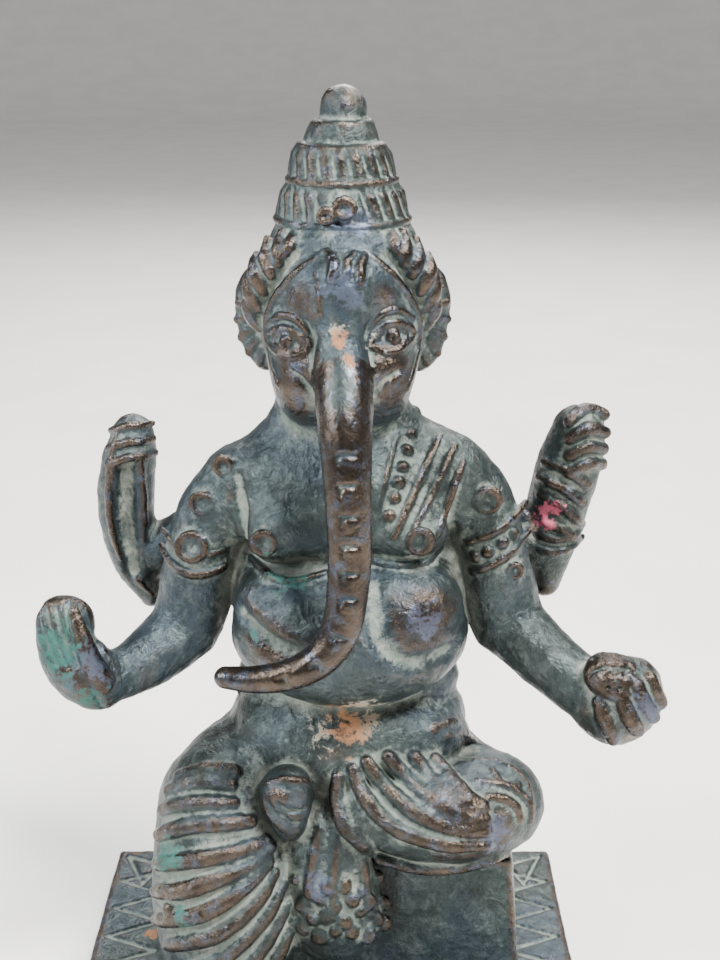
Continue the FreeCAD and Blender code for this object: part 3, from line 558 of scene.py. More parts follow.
def sampled(field, places):
    """A lattice field read between its points, at places in mm."""
    spot = (places - lattice_low) / LATTICE_STEP
    spot = np.clip(spot, 0, np.array(field.shape) - 1.001)
    cell = spot.astype(int)
    part = spot - cell
    total = np.zeros(len(places))
    for corner in np.ndindex(2, 2, 2):
        weight = np.prod(np.where(corner, part, 1 - part), axis=1)
        index = cell + corner
        total += weight * field[index[:, 0], index[:, 1], index[:, 2]]
    return total


# ---------------------------------------------------------------- uneven surface


def hashed(cell, seed):
    """A number from 0 to 1 for each whole cell, always the same for the same cell."""
    mixed = cell[:, 0] * 374761393 + cell[:, 1] * 668265263 + cell[:, 2] * 2147483647 + seed * 974634777
    mixed = (mixed ^ (mixed >> 13)) * 1274126177
    return ((mixed ^ (mixed >> 16)) & 0xFFFFFF) / 0xFFFFFF


def mottle(places, wavelength, seed):
    """Smooth noise from -1 to 1 at places in mm."""
    spot = places / wavelength
    cell = np.floor(spot).astype(np.int64)
    part = spot - cell
    part = part * part * (3 - 2 * part)
    total = np.zeros(len(places))
    for corner in np.ndindex(2, 2, 2):
        weight = np.prod(np.where(corner, part, 1 - part), axis=1)
        total += weight * hashed(cell + corner, seed)
    return 2 * total - 1


# ---------------------------------------------------------------- crown and head


def crown_pieces():
    """Brim, two ribbed tiers, a worn plain tier, the knob and the rosette."""
    brim = [
        mass("crown_brim", (0, -0.5, 0.1), (6.7, 6.6, 2.3), turn=(-6, 0, 0)),
        drum(spot("crown_brim", (0, -0.1, 1.5)), (5.9, 5.9), 1.1, 0.6, tilt=0.04, blend=1.4),
    ]
    tiers = []
    for node, rise, radii, half, ribs, depth in TIERS:
        place = spot(node, (0, 0.1, rise))
        forms = [
            drum(place, radii, half, 0.75, ribs, depth, twist=0.05, flare=0.22),
            drum(place - np.array([0, 0, half]), np.array(radii) + 0.1, 0.3, 0.25, blend=0.3),
            drum(place + np.array([0, 0, half]), np.array(radii) * 0.8, 0.4, 0.3, blend=0.6),
        ]
        tiers.append(Piece(node, forms))
    finial = near("crown_finial", (0.15, 0.0, -1.1, 1.9), (0.1, 0.0, -0.4, 2.1), (0.1, 0.0, 0.1, 2.1))
    stub = near("crown_finial", (-0.1, -0.2, 0.9, 1.35), (-0.8, -0.5, 1.1, 0.9))
    rosette = []
    for offset, size in (((0.8, -2.9, 1.2), 0.85), ((-0.9, -2.9, 0.5), 0.6)):
        place = np.array(laid(tiers[0].forms, near("crown_rosette", offset))[0]) - np.array([0, 0.25, 0])
        rosette.append(lump(place, (size * 1.1, 0.45, size * 1.1), turn=(12, 0, 0), blend=0.1))
        rosette.append(ring(place - np.array([0, 0.2, 0]), size, 0.3, face=(0, -1, 0.22), blend=0.15))
        rosette.append(lump(place - np.array([0, 0.55, 0]), (size * 0.4, 0.5, size * 0.4), blend=0.1,
                            cut=True))
    return [
        Piece("crown_brim", brim),
        *tiers,
        Piece("crown_finial", [rope(finial), rope(stub, blend=0.5),
                               lump(finial[0], (2.6, 2.6, 0.7), blend=0.5)]),
        Piece("crown_rosette", rosette),
    ]


def head_masses():
    """Skull, brow, cheeks, jowls, the bridge that the trunk grows from, and the eye sockets."""
    return [
        mass("head", (0, 1.0, 3.6), (7.75, 7.0, 7.0)),
        mass("head", (0, 0.4, -1.2), (6.6, 6.3, 7.0), blend=2.0),
        mass("head", (0, -2.8, 7.0), (4.8, 4.0, 3.4), blend=2.0),
        mass("head", (-3.6, -2.7, -1.0), (2.6, 3.5, 4.4), blend=1.5),
        mass("head", (3.6, -2.7, -1.0), (2.6, 3.5, 4.4), blend=1.5),
        limb("head", (0, -4.8, 7.4, 1.4), (0, -5.5, 3.6, 1.9), (0, -6.6, -0.2, 2.3), (0.2, -8.0, -2.6, 2.2),
             blend=1.8),
        mass("head", (-4.6, -6.3, 2.7), (2.2, 1.1, 1.7), blend=0.9, cut=True),
        mass("head", (4.4, -6.4, 3.0), (2.2, 1.1, 1.7), blend=0.9, cut=True),
    ]


def head_pieces():
    """The head with its raised frame, forehead mark, eyes, hair lobes and fan ears."""
    masses = head_masses()
    head = masses + [
        ridge(masses, across("head", -10.6, (-2.4, -2.3), (-3.6, -0.6), (-4.6, 0.0)), 0.22, cut=True),
        ridge(masses, across("head", -10.6, (2.8, -2.2), (3.8, -0.8), (5.0, -0.2)), 0.22, cut=True),
        ridge(masses, across("head", -10.6, (-3.0, 4.0), (-2.6, 2.4), (-2.6, 0.4)), 0.3, cut=True),
        ridge(masses, across("head", -10.6, (2.9, 4.2), (2.6, 2.6), (2.6, 0.6)), 0.3, cut=True),
    ]
    left_frame = across("face_ridge", -1.2, (0.2, 6.3), (1.8, 6.0), (4.1, 4.2), (5.7, 2.3), (6.6, 0.6),
                        (6.9, -0.9), (6.7, -2.7), (5.7, -6.1))
    right_frame = across("face_ridge", -1.2, (-0.2, 6.3), (-1.4, 5.9), (-3.6, 4.4), (-5.4, 2.5),
                         (-6.5, 0.6), (-6.8, -0.9), (-6.5, -2.7), (-5.6, -5.7))
    frame_forms = [ridge(masses, line, 0.38, look=HEAD_SIGHT) for line in (left_frame, right_frame)]
    mark = [
        drop(masses, across("forehead_mark", 0.9, (-1.2, 4.2), (-0.6, 3.1), (-0.9, 1.8)), 0.55),
        drop(masses, across("forehead_mark", 0.9, (0.5, 2.2), (0.5, 3.3), (1.1, 4.0)), 0.4),
        drop(masses, across("forehead_mark", 0.9, (2.0, 3.9), (1.6, 3.0), (1.5, 1.6)), 0.5),
        ridge(masses, across("forehead_mark", 0.9, (-2.4, 3.4), (-1.9, 1.0), (-1.8, -1.2)), 0.22,
              look=HEAD_SIGHT),
    ]
    pieces = [Piece("head", head), Piece("face_ridge", frame_forms), Piece("forehead_mark", mark)]
    for side, node, ear, hair in ((-1, "right_eye", "right_ear", "right_hair_locks"),
                                  (1, "left_eye", "left_ear", "left_hair_locks")):
        pieces.append(Piece(node, eye_forms(masses, side)))
        pieces.append(Piece(ear, ear_forms(side)))
        pieces.append(Piece(hair, hair_forms(masses, side)))
    return pieces


def eye_forms(masses, side):
    """A long eye: brow fold, outer and inner lid lines, and a raised iris with a pit."""
    cx, cz = (-4.75, 2.5) if side < 0 else (4.4, 3.0)
    forms = []
    for reach, width in ((1.0, 0.3), (0.66, 0.2)):
        around = []
        for step in range(EYE_POINTS + 1):
            angle = 2 * math.pi * step / EYE_POINTS
            long_way = 1.95 * reach * math.cos(angle)
            narrowing = 1 - 0.25 * abs(math.cos(angle))
            up = 1.35 * reach * math.sin(angle) * narrowing + 0.16 * side * long_way
            around += near("head", (cx + long_way, -6.6, cz + up))
        on_face = laid(masses, around, HEAD_SIGHT, lift=0.1)
        forms.append(rope([place + (width,) for place in on_face], blend=0.15))
    iris = laid(masses, near("head", (cx, -6.6, cz)), HEAD_SIGHT)[0]
    forms.append(lump(iris, (0.7, 0.6, 0.7), blend=0.15))
    forms.append(lump(np.array(iris) - np.array([0, 0.6, 0]), (0.25, 0.35, 0.25), blend=0.1, cut=True))
    brow = across("head", -6.6, (cx - 1.9 * side, cz + 0.9), (cx - 0.9 * side, cz + 2.1),
                  (cx + 0.5 * side, cz + 2.4), (cx + 1.8 * side, cz + 1.6))
    forms.append(ridge(masses, brow, 0.34, look=HEAD_SIGHT))
    return forms


def ear_forms(side):
    """A fan ear: a thin curved leaf with ribs that spread out to its edge."""
    leaf = [
        mass("head", (7.3 * side, 3.0, 2.5), (2.5, 1.5, 5.0), turn=(0, 6 * side, 0)),
        mass("head", (6.9 * side, 3.0, 4.8), (2.7, 1.6, 2.8), blend=1.0),
    ]
    ribs = []
    for rib in range(EAR_RIBS):
        angle = math.radians(62 - 128 * rib / (EAR_RIBS - 1))
        out, up = math.cos(angle), math.sin(angle)
        line = across("head", -1.6, ((5.9 + 0.6 * out) * side, 2.8 + 1.4 * up),
                      ((6.2 + 2.0 * out) * side, 2.8 + 3.0 * up + 0.3),
                      ((6.4 + 3.3 * out) * side, 2.7 + 4.7 * up))
        ribs.append(ridge(leaf, line, 0.45, lift=-0.1, blend=0.3))
    return leaf + ribs


def hair_forms(masses, side):
    """Six leaf-shaped lobes fanning out from under the brim."""
    band = [
        limb("head", (4.4 * side, -2.0, 9.2, 1.5), (6.4 * side, -1.2, 7.4, 1.7),
             (7.4 * side, -0.2, 4.8, 1.4), (7.5 * side, 0.4, 2.8, 0.9), blend=1.0),
    ]
    lobes = (
        ((3.9, 11.8), (4.3, 10.6), (4.9, 9.5)),
        ((5.3, 11.4), (5.4, 10.1), (5.4, 8.7)),
        ((6.5, 10.8), (6.5, 9.2), (6.1, 7.7)),
        ((7.5, 9.4), (7.4, 7.7), (6.8, 6.2)),
        ((8.1, 7.7), (7.9, 6.0), (7.3, 4.7)),
        ((8.3, 5.8), (8.0, 4.2), (7.4, 3.0)),
    )
    forms = list(band)
    for line in lobes:
        places = near("head", *[(x * side, -2.6, z) for x, z in line])
        forms.append(drop(masses + band, places, 0.8))
    return forms


def trunk_path():
    """The middle line of the trunk from between the eyes to its tip, with its radius."""
    return near(
        "trunk",
        (4.5, 4.3, 11.5, 1.6), (4.6, 3.1, 9.7, 2.3), (4.7, 1.3, 6.5, 2.35), (4.9, -0.1, 2.0, 2.1),
        (5.1, -0.9, -3.0, 1.95), (4.9, -1.5, -7.5, 1.85), (4.2, -2.0, -10.9, 1.75), (2.4, -2.3, -13.5, 1.6),
        (-0.4, -2.4, -14.9, 1.4), (-3.2, -2.1, -15.5, 1.2), (-5.9, -1.7, -15.5, 1.0),
    )


def trunk_piece():
    """A long smooth trunk, with short bracket-shaped nicks down its front."""
    path = trunk_path()
    curve = flowing(path, TRUNK_NICK_GAP)
    forms = [rope(path, spacing=0.5)]
    for i in range(3, len(curve) - 2):
        along = curve[i + 1][:3] - curve[i - 1][:3]
        along /= np.linalg.norm(along)
        front = np.cross(along, np.cross(FRONT, along))
        front /= np.linalg.norm(front)
        side = np.cross(along, front)
        radius = curve[i][3]
        nick = []
        for angle in (-20, -2, 18):
            a = math.radians(angle)
            outward = front * math.cos(a) + side * math.sin(a)
            nick.append(tuple(curve[i][:3] + outward * (radius + 0.02)) + (0.24,))
        tail = np.array(nick[-1][:3]) + along * 0.8
        forms.append(rope(nick, blend=0.12, cut=True))
        forms.append(rope([nick[-1], tuple(tail) + (0.2,)], blend=0.1, cut=True))
    return Piece("trunk", forms)


# ---------------------------------------------------------------- shared small forms


def ring(place, radius, thickness, face=(0, -1, 0), blend=0.2):
    """A closed round rope that lies flat against a face."""
    face = np.array(face, float) / np.linalg.norm(face)
    across = np.cross(face, (0, 0, 1))
    across /= np.linalg.norm(across)
    upward = np.cross(across, face)
    places = []
    for step in range(RING_POINTS + 1):
        angle = 2 * math.pi * step / RING_POINTS
        offset = radius * (across * math.cos(angle) + upward * math.sin(angle))
        places.append(tuple(np.array(place[:3]) + offset) + (thickness,))
    return rope(places, blend)


def disc(forms, place, radius, rim=0.3):
    """A round boss laid on a surface: raised rim, sunken middle."""
    middle_place = np.array(laid(forms, [place])[0][:3])
    raised = middle_place - np.array([0, 0.1, 0])
    return [
        lump(raised, (radius, 0.5, radius), blend=0.25),
        ring(raised - np.array([0, 0.2, 0]), radius * 0.85, rim, blend=0.15),
        lump(raised - np.array([0, 0.6, 0]), (radius * 0.6, 0.45, radius * 0.6), blend=0.2, cut=True),
    ]


def drop(forms, line, width):
    """A teardrop laid on a surface: thin where it starts, widest past its middle."""
    dense = laid(forms, flowing([place[:3] for place in line], 0.5), HEAD_SIGHT, lift=0.05)
    last = len(dense) - 1
    shape = [tuple(place[:3]) + (width * (0.35 + 0.65 * math.sin(math.pi * (0.12 + 0.7 * i / last))),)
             for i, place in enumerate(dense)]
    return rope(shape, blend=0.2)


def bead_row(forms, line, count, radius):
    """Round beads at even steps along a line laid on a surface."""
    curve = flowing([place[:3] for place in line], 0.3)
    picks = np.linspace(0, len(curve) - 1, count).astype(int)
    on_skin = laid(forms, [tuple(curve[i]) for i in picks])
    return [lump(place, (radius, radius * 0.8, radius), blend=0.15) for place in on_skin]


# ---------------------------------------------------------------- torso


def belly_masses():
    """The round belly with its upper folds and the soft bulge on its left."""
    return [
        mass("belly", (0.0, 0.3, 1.0), (11.3, 8.9, 7.0)),
        mass("belly", (5.0, -1.8, 4.8), (5.4, 5.0, 4.2), blend=1.6),
        mass("belly", (-5.6, -1.6, 4.0), (5.2, 5.0, 4.4), blend=1.6),
        mass("belly", (-0.2, 4.0, 5.8), (12.0, 5.8, 7.0), blend=2.0),
        mass("belly", (-0.2, 3.4, -5.2), (10.9, 5.6, 4.8), blend=1.4),
    ]


def chest_masses():
    """Chest, sloping shoulders and the soft breasts."""
    return [
        mass("chest", (0.0, 0.3, -0.9), (11.0, 6.4, 7.2)),
        mass("chest", (-9.0, 0.4, -0.3), (4.0, 4.2, 4.6), blend=2.0),
        mass("chest", (9.2, 0.4, 0.5), (4.0, 4.2, 4.8), blend=2.0),
        mass("chest", (0.1, 1.7, 4.1), (8.4, 4.6, 3.4), blend=2.0),
        mass("chest", (-5.6, -2.9, -2.9), (4.2, 3.6, 3.4), blend=1.4),
        mass("chest", (5.4, -2.9, -2.9), (4.2, 3.6, 3.4), blend=1.4),
    ]


def torso_pieces():
    """Belly, chest, neck and everything laid on them."""
    belly = belly_masses()
    chest = chest_masses()
    both = belly + chest
    belly_cuts = [
        ridge(belly, across("belly", -12.2, (-10.0, 4.8), (-6.6, 2.6), (-3.2, 2.0)), 0.4, cut=True,
              blend=1.4),
        ridge(belly, across("belly", -12.2, (2.0, 7.6), (2.8, 3.6), (5.4, 1.0), (9.2, 1.0)), 0.5, cut=True,
              blend=1.6),
        mass("belly", (-0.6, -8.5, -4.2), (0.5, 0.7, 0.5), blend=0.3, cut=True),
    ]
    chest_cuts = [
        ridge(chest, across("chest", -10.7, (-9.8, 1.9), (-9.4, -0.9), (-9.2, -5.5)), 0.45, cut=True,
              blend=0.8),
        ridge(chest, across("chest", -10.7, (10.2, 1.9), (9.8, -0.9), (10.2, -5.5)), 0.45, cut=True,
              blend=0.8),
    ]
    fold = [
        ridge(both, across("under_chest_fold", -5.9, (-8.9, -0.3), (-5.7, -0.7), (-1.9, -0.5)), 0.42,
              blend=0.7),
        ridge(both, across("under_chest_fold", -5.9, (1.5, 0.6), (4.9, 0.5), (8.9, 0.6)), 0.42, blend=0.7),
    ]
    neck = [
        limb("neck", (0, 0.0, -3.0, 6.0), (0, -0.2, 0.0, 5.6), (0, -0.4, 3.0, 5.6)),
        limb("neck", (-4.4, -1.6, -1.4, 2.6), (4.4, -1.6, -1.4, 2.6), blend=1.4),
    ]
    discs = disc(chest, spot("chest_discs", (-7.2, -5.8, -0.3)), 1.15)
    discs += disc(chest, spot("chest_discs", (6.9, -5.8, -0.1)), 1.25)
    thread_lines = (
        ((2.1, 6.9), (0.3, 2.9), (-2.2, -3.3)),
        ((3.4, 5.9), (1.6, 1.9), (-0.4, -2.3)),
        ((4.1, 4.2), (2.9, 0.7), (1.7, -2.9)),
    )
    thread = [
        ridge(chest, across("sacred_thread", -1.1, *line), 0.42, look=CHEST_SIGHT)
        for line in thread_lines
    ]
    garland = bead_row(chest, across("shoulder_garland", -5.2, (2.7, 5.3), (1.5, 1.7), (0.3, -2.3)), 7,
                       0.62)
    garland.append(ridge(chest, across("shoulder_garland", -5.2, (1.5, 5.5), (0.3, 2.1), (-0.7, -1.5)),
                         0.28))
    belt = [
        ridge(belly,
              across("waist_belt", -7.8, (-10.7, 0.6), (-5.7, -0.2), (-0.3, -0.5), (5.3, -0.2),
                     (10.3, 0.6)), 0.6, blend=0.5),
    ]
    return wax(belly=belly + belly_cuts, chest=chest + chest_cuts, under_chest_fold=fold, neck=neck,
               chest_discs=discs, sacred_thread=thread, shoulder_garland=garland, waist_belt=belt)


# ---------------------------------------------------------------- front arms


def front_arm_pieces():
    """The open right hand and the left fist with a sweet, on their arms, with discs and bands."""
    right_upper = [
        limb("front_right_upper_arm", (4.4, 0.4, 6.1, 3.3), (2.4, 0.3, 3.3, 3.5), (1.0, 0.2, -1.1, 3.5),
             (0.0, 0.0, -6.1, 3.4)),
    ]
    right_fore = [
        limb("front_right_forearm", (3.1, 3.2, 2.1, 3.3), (0.7, 1.0, 0.7, 2.9), (-1.7, -1.2, -0.3, 2.5),
             (-4.1, -2.8, -0.5, 2.3)),
    ]
    left_upper = [
        limb("front_left_upper_arm", (-4.6, 0.4, 6.1, 3.3), (-2.5, 0.3, 3.1, 3.4), (-1.2, 0.2, -1.3, 3.4),
             (-0.1, 0.1, -6.1, 3.5)),
    ]
    left_fore = [
        limb("front_left_forearm", (-4.0, 3.1, 1.7, 3.5), (-1.2, 1.1, -0.3, 3.1), (1.8, -1.1, -2.3, 2.9),
             (4.4, -2.9, -3.7, 2.8)),
    ]
    hand = [
        mass("front_right_hand", (-0.8, -0.1, 1.8), (2.5, 2.2, 4.6), turn=(0, -8, 0)),
        mass("front_right_hand", (1.2, 0.1, -1.2), (2.8, 2.4, 3.6), turn=(0, -30, 0), blend=1.6),
        mass("front_right_hand", (-0.2, -0.3, 4.4), (2.4, 1.7, 2.4), blend=1.2),
    ]
    grooves = [
        ridge(hand, across("front_right_hand", -7.5, (x, 6.4 - 0.25 * i), (x + 0.5, 4.0), (x + 1.8, 0.8)),
              0.34, cut=True, blend=0.35)
        for i, x in enumerate((-0.1, -1.1, -2.1, -3.0))
    ]
    wrist_crease = ridge(hand + right_fore,
                         across("front_right_hand", -7.5, (2.4, 2.0), (2.2, -1.2), (2.6, -4.2)), 0.3,
                         cut=True, blend=0.5)
    thumb = [
        limb("front_right_thumb", (1.1, 1.4, -0.5, 1.2), (0.5, 0.6, 2.1, 1.05), (-0.2, 0.6, 4.7, 0.8),
             (-0.8, 1.0, 6.5, 0.55)),
    ]
    fist = [
        mass("front_left_hand", (-0.1, 0.0, 0.6), (3.5, 3.4, 4.2), turn=(0, 25, 0)),
        mass("front_left_hand", (-1.4, 0.2, -0.4), (3.0, 3.1, 3.3), blend=1.5),
    ]
    fingers = [
        ridge(fist, near("front_left_fingers", *line), 0.8, lift=-0.15, blend=0.25, ends=0.7,
              look=CHEST_SIGHT)
        for line in (
            ((-2.8, -0.7, 3.6), (-2.4, -0.7, 1.8), (-1.5, -0.7, -0.2)),
            ((-1.1, -0.7, 4.4), (-0.5, -0.7, 2.6), (0.6, -0.7, 0.8)),
            ((0.4, -0.7, 5.1), (1.0, -0.7, 3.6), (2.0, -0.7, 2.1)),
            ((1.6, -0.7, 5.8), (2.1, -0.7, 4.6), (2.8, -0.7, 3.4)),
        )
    ]
    sweet = [mass("sweet_ball", (-0.7, 1.0, 0.2), (2.9, 2.6, 2.1), turn=(20, 20, 0))]
    hatches = [
        ridge(sweet,
              across("sweet_ball", -0.6, (-3.0 + 1.0 * i, 3.7 - lean), (-1.4 + 1.0 * i, -0.3 + lean)), 0.2,
              cut=True, look=CHEST_SIGHT)
        for i in range(5)
        for lean in (0, 2.4)
    ]
    arms = right_upper + right_fore + left_upper + left_fore
    discs = disc(arms, spot("arm_discs", (-13.0, -7.5, 2.3)), 1.15)
    discs += disc(arms, spot("arm_discs", (13.4, -7.5, 2.7)), 1.3)
    discs += disc(arms + chest_masses(), spot("arm_discs", (-10.9, -7.5, 5.9)), 0.9)
    left_band = [
        ridge(arms, across("front_left_armband", -8.1, (-3.9, 0.0), (-1.4, 1.3), (1.7, 2.9)), 0.46),
        ridge(arms, across("front_left_armband", -8.1, (-3.4, -3.0), (-0.7, -1.5), (2.5, 0.5)), 0.46),
    ]
    band_beads = across("front_left_armband", -8.1, (-3.1, -1.4), (-0.9, -0.1), (1.7, 1.6))
    left_band += bead_row(arms, band_beads, 5, 0.62)
    left_band += disc(arms, spot("front_left_armband", (0.7, -8.1, -2.7)), 0.8, 0.22)
    right_band = [
        ridge(arms, across("front_right_armband", -7.3, (-2.9, 0.0), (0.3, -1.5), (3.3, -1.1)), 0.5),
        ridge(arms, across("front_right_armband", -7.3, (-2.8, 1.7), (0.3, 0.5), (3.3, 0.7)), 0.36),
    ]
    right_band += disc(arms, spot("front_right_armband", (0.4, -7.3, 1.3)), 1.5, 0.34)
    return wax(front_right_upper_arm=right_upper, front_right_forearm=right_fore,
               front_right_hand=hand + grooves + [wrist_crease], front_right_thumb=thumb,
               front_left_upper_arm=left_upper, front_left_forearm=left_fore, front_left_hand=fist,
               front_left_fingers=fingers, sweet_ball=sweet + hatches, arm_discs=discs,
               front_left_armband=left_band, front_right_armband=right_band)


# ---------------------------------------------------------------- rear arms


def rear_arm_pieces():
    """Two arms raised behind, each a thick blade that ends in closed fingers."""
    right_arm = [
        limb("rear_right_upper_arm", (4.8, -0.7, 1.1, 2.9), (1.0, -0.2, -2.1, 2.8),
             (-3.8, -0.1, -4.7, 2.4)),
    ]
    left_arm = [
        limb("rear_left_upper_arm", (-4.8, -0.6, 1.1, 2.9), (-1.0, -0.1, -1.7, 2.8), (3.8, 0.0, -3.9, 2.5)),
    ]
    right_blade = [
        limb("rear_right_raised_hand", (1.5, 0.1, -8.6, 1.4), (0.1, 0.1, -5.0, 2.2), (-0.5, 0.1, 0.0, 2.7),
             (-0.2, 0.1, 4.4, 2.7), (0.5, 0.1, 8.2, 2.1)),
    ]
    right_blade += [
        ridge(right_blade,
              across("rear_right_raised_hand", -8.3, (1.9, -8.2), (-0.7, -4.0), (-1.7, 0.6), (-1.5, 5.0),
                     (-0.7, 8.8)), 0.42),
        ridge(right_blade, across("rear_right_raised_hand", -8.3, (1.3, 7.0), (1.6, 2.4), (1.3, -2.0)),
              0.36),
        limb("rear_right_raised_hand", (0.2, -2.1, -5.2, 0.7), (-0.1, -2.4, 0.4, 1.0),
             (0.1, -2.3, 5.8, 0.8), blend=0.8, cut=True),
    ]
    right_fingers = [
        ridge(right_blade[:1],
              across("rear_right_fingers", -6.5, (-2.1, z), (0.0, z + 0.9), (2.2, z + 0.7)), 0.42, lift=0.1,
              blend=0.25)
        for z in (-1.5, 0.0, 1.5)
    ]
    left_blade = [
        limb("rear_left_raised_hand", (-1.4, 0.1, -8.7, 1.5), (-1.1, 0.1, -5.1, 2.4),
             (-0.6, 0.1, -0.9, 3.0), (0.4, 0.1, 3.5, 3.1), (1.1, 0.1, 6.9, 2.6)),
    ]
    leaf_lines = (
        ((-2.6, 1.1), (-0.7, 0.5), (1.6, -1.9)), ((-2.7, 2.7), (-0.7, 2.3), (1.8, 0.3)),
        ((-2.2, 4.3), (-0.4, 4.1), (2.0, 2.3)), ((-2.0, -1.5), (-0.4, -2.1), (1.4, -3.7)),
    )
    left_blade += [
        ridge(left_blade[:1], across("rear_left_raised_hand", -8.3, *line), 0.55, blend=0.3)
        for line in leaf_lines
    ]
    left_fingers = [
        ridge(left_blade[:1], across("rear_left_fingers", -6.4, (-1.9, z), (-0.3, z + 0.9), (1.5, z + 0.2)),
              0.7, lift=0.2, blend=0.2, ends=0.7)
        for z in (-1.6, 0.0, 1.6, 3.1)
    ]
    bangles = [
        ridge(left_blade[:1], across("rear_left_bangles", -6.2, (-2.7, z), (0.0, z - 0.7), (3.0, z - 0.1)),
              0.45)
        for z in (-1.9, -0.5)
    ]
    return wax(rear_right_upper_arm=right_arm, rear_left_upper_arm=left_arm,
               rear_right_raised_hand=right_blade, rear_right_fingers=right_fingers,
               rear_left_raised_hand=left_blade, rear_left_fingers=left_fingers, rear_left_bangles=bangles)


# ---------------------------------------------------------------- lap and legs


def lap_masses():
    """Hips in a wrapped dhoti, sloping down from the waist."""
    return [
        mass("dhoti_lap", (0.0, 0.6, -1.1), (12.9, 9.2, 8.4)),
        mass("dhoti_lap", (0.2, -1.2, 5.1), (11.4, 7.8, 5.6), blend=3.0),
        mass("dhoti_lap", (0.2, -5.0, 3.9), (10.6, 5.2, 4.6), blend=2.5),
    ]


def leg_masses():
    """Thighs and shins of both legs, by node."""
    return {
        "pendant_thigh": [
            limb("pendant_thigh", (4.6, 3.4, 1.5, 6.0), (1.6, -0.2, 0.9, 6.1), (-0.8, -3.4, -0.1, 5.9)),
        ],
        "pendant_shin": [
            limb("pendant_shin", (0.0, 1.2, 7.9, 6.1), (-0.2, 0.2, 2.5, 6.2), (-0.1, -0.2, -3.1, 5.8),
                 (0.2, -0.4, -7.1, 5.4)),
            limb("pendant_shin", (3.8, 1.2, 6.5, 3.6), (4.8, 0.4, -3.1, 3.6), blend=2.0),
        ],
        "folded_thigh": [
            limb("folded_thigh", (-6.3, 1.7, 0.3, 5.4), (-2.7, -1.1, -0.5, 5.1), (0.3, -3.7, -0.7, 4.6)),
        ],
        "folded_shin": [
            limb("folded_shin", (-6.6, -0.2, 1.5, 4.1), (-1.6, -0.3, 0.7, 4.7), (3.0, 0.0, 0.5, 4.9),
                 (5.6, 1.6, 0.6, 4.7)),
        ],
    }


def pendant_leg_pieces(masses):
    """The leg that hangs down, wrapped in cloth whose pleats gather at the turned-up foot."""
    skin = masses["pendant_thigh"] + masses["pendant_shin"]
    lines = (
        ((-3.0, 11.5), (-0.6, 11.9), (2.1, 11.9)),
        ((-4.0, 9.9), (-0.9, 10.8), (1.8, 10.5)),
        ((-4.6, 7.9), (-1.5, 8.5), (2.0, 8.5)),
        ((-4.9, 5.1), (-2.2, 6.1), (1.5, 6.5), (3.7, 6.6)),
        ((-5.2, 1.9), (-2.0, 2.5), (1.8, 3.2), (5.0, 4.5)),
        ((-5.4, -1.1), (-2.4, -0.7), (1.1, 0.7), (3.8, 2.2), (5.5, 3.9)),
        ((-5.4, -4.3), (-1.6, -3.5), (1.0, -2.1), (3.3, -0.1), (5.2, 2.2)),
        ((-4.4, -7.1), (0.0, -5.7), (2.3, -4.1), (4.2, -1.9), (5.7, 0.9)),
        ((-2.8, -10.3), (1.0, -8.1), (3.1, -6.1), (5.0, -3.6), (6.5, -0.5)),
        ((-0.4, -12.7), (3.4, -8.9), (5.4, -5.7), (6.9, -2.5)),
        ((2.6, -13.3), (5.4, -9.3), (7.2, -5.3)),
    )
    pleats = [
        ridge(skin, across("pendant_pleats", -1.3, *line), PLEAT_WIDTH, blend=0.6, look=LEG_SIGHT)
        for line in lines
    ]
    pleats += bead_row(skin, across("pendant_pleats", -4.8, (-3.8, -2.3), (-1.0, -4.5)), 3, 0.8)
    foot = [
        limb("pendant_foot", (0.1, 2.7, 0.1, 2.1), (0.1, 0.1, -0.1, 2.2), (0.1, -1.9, -0.5, 1.9)),
        mass("pendant_foot", (0.1, -0.5, -0.6), (3.3, 3.2, 1.3), blend=1.2),
    ]
    toes = [
        limb("pendant_toes", (-1.9 + 1.0 * i, 0.2, -1.0, 0.55), (-2.0 + 1.05 * i, -1.2, -1.4, 0.62))
        for i in range(5)
    ]
    return wax(pendant_thigh=masses["pendant_thigh"], pendant_shin=masses["pendant_shin"],
               pendant_pleats=pleats, pendant_foot=foot, pendant_toes=toes)


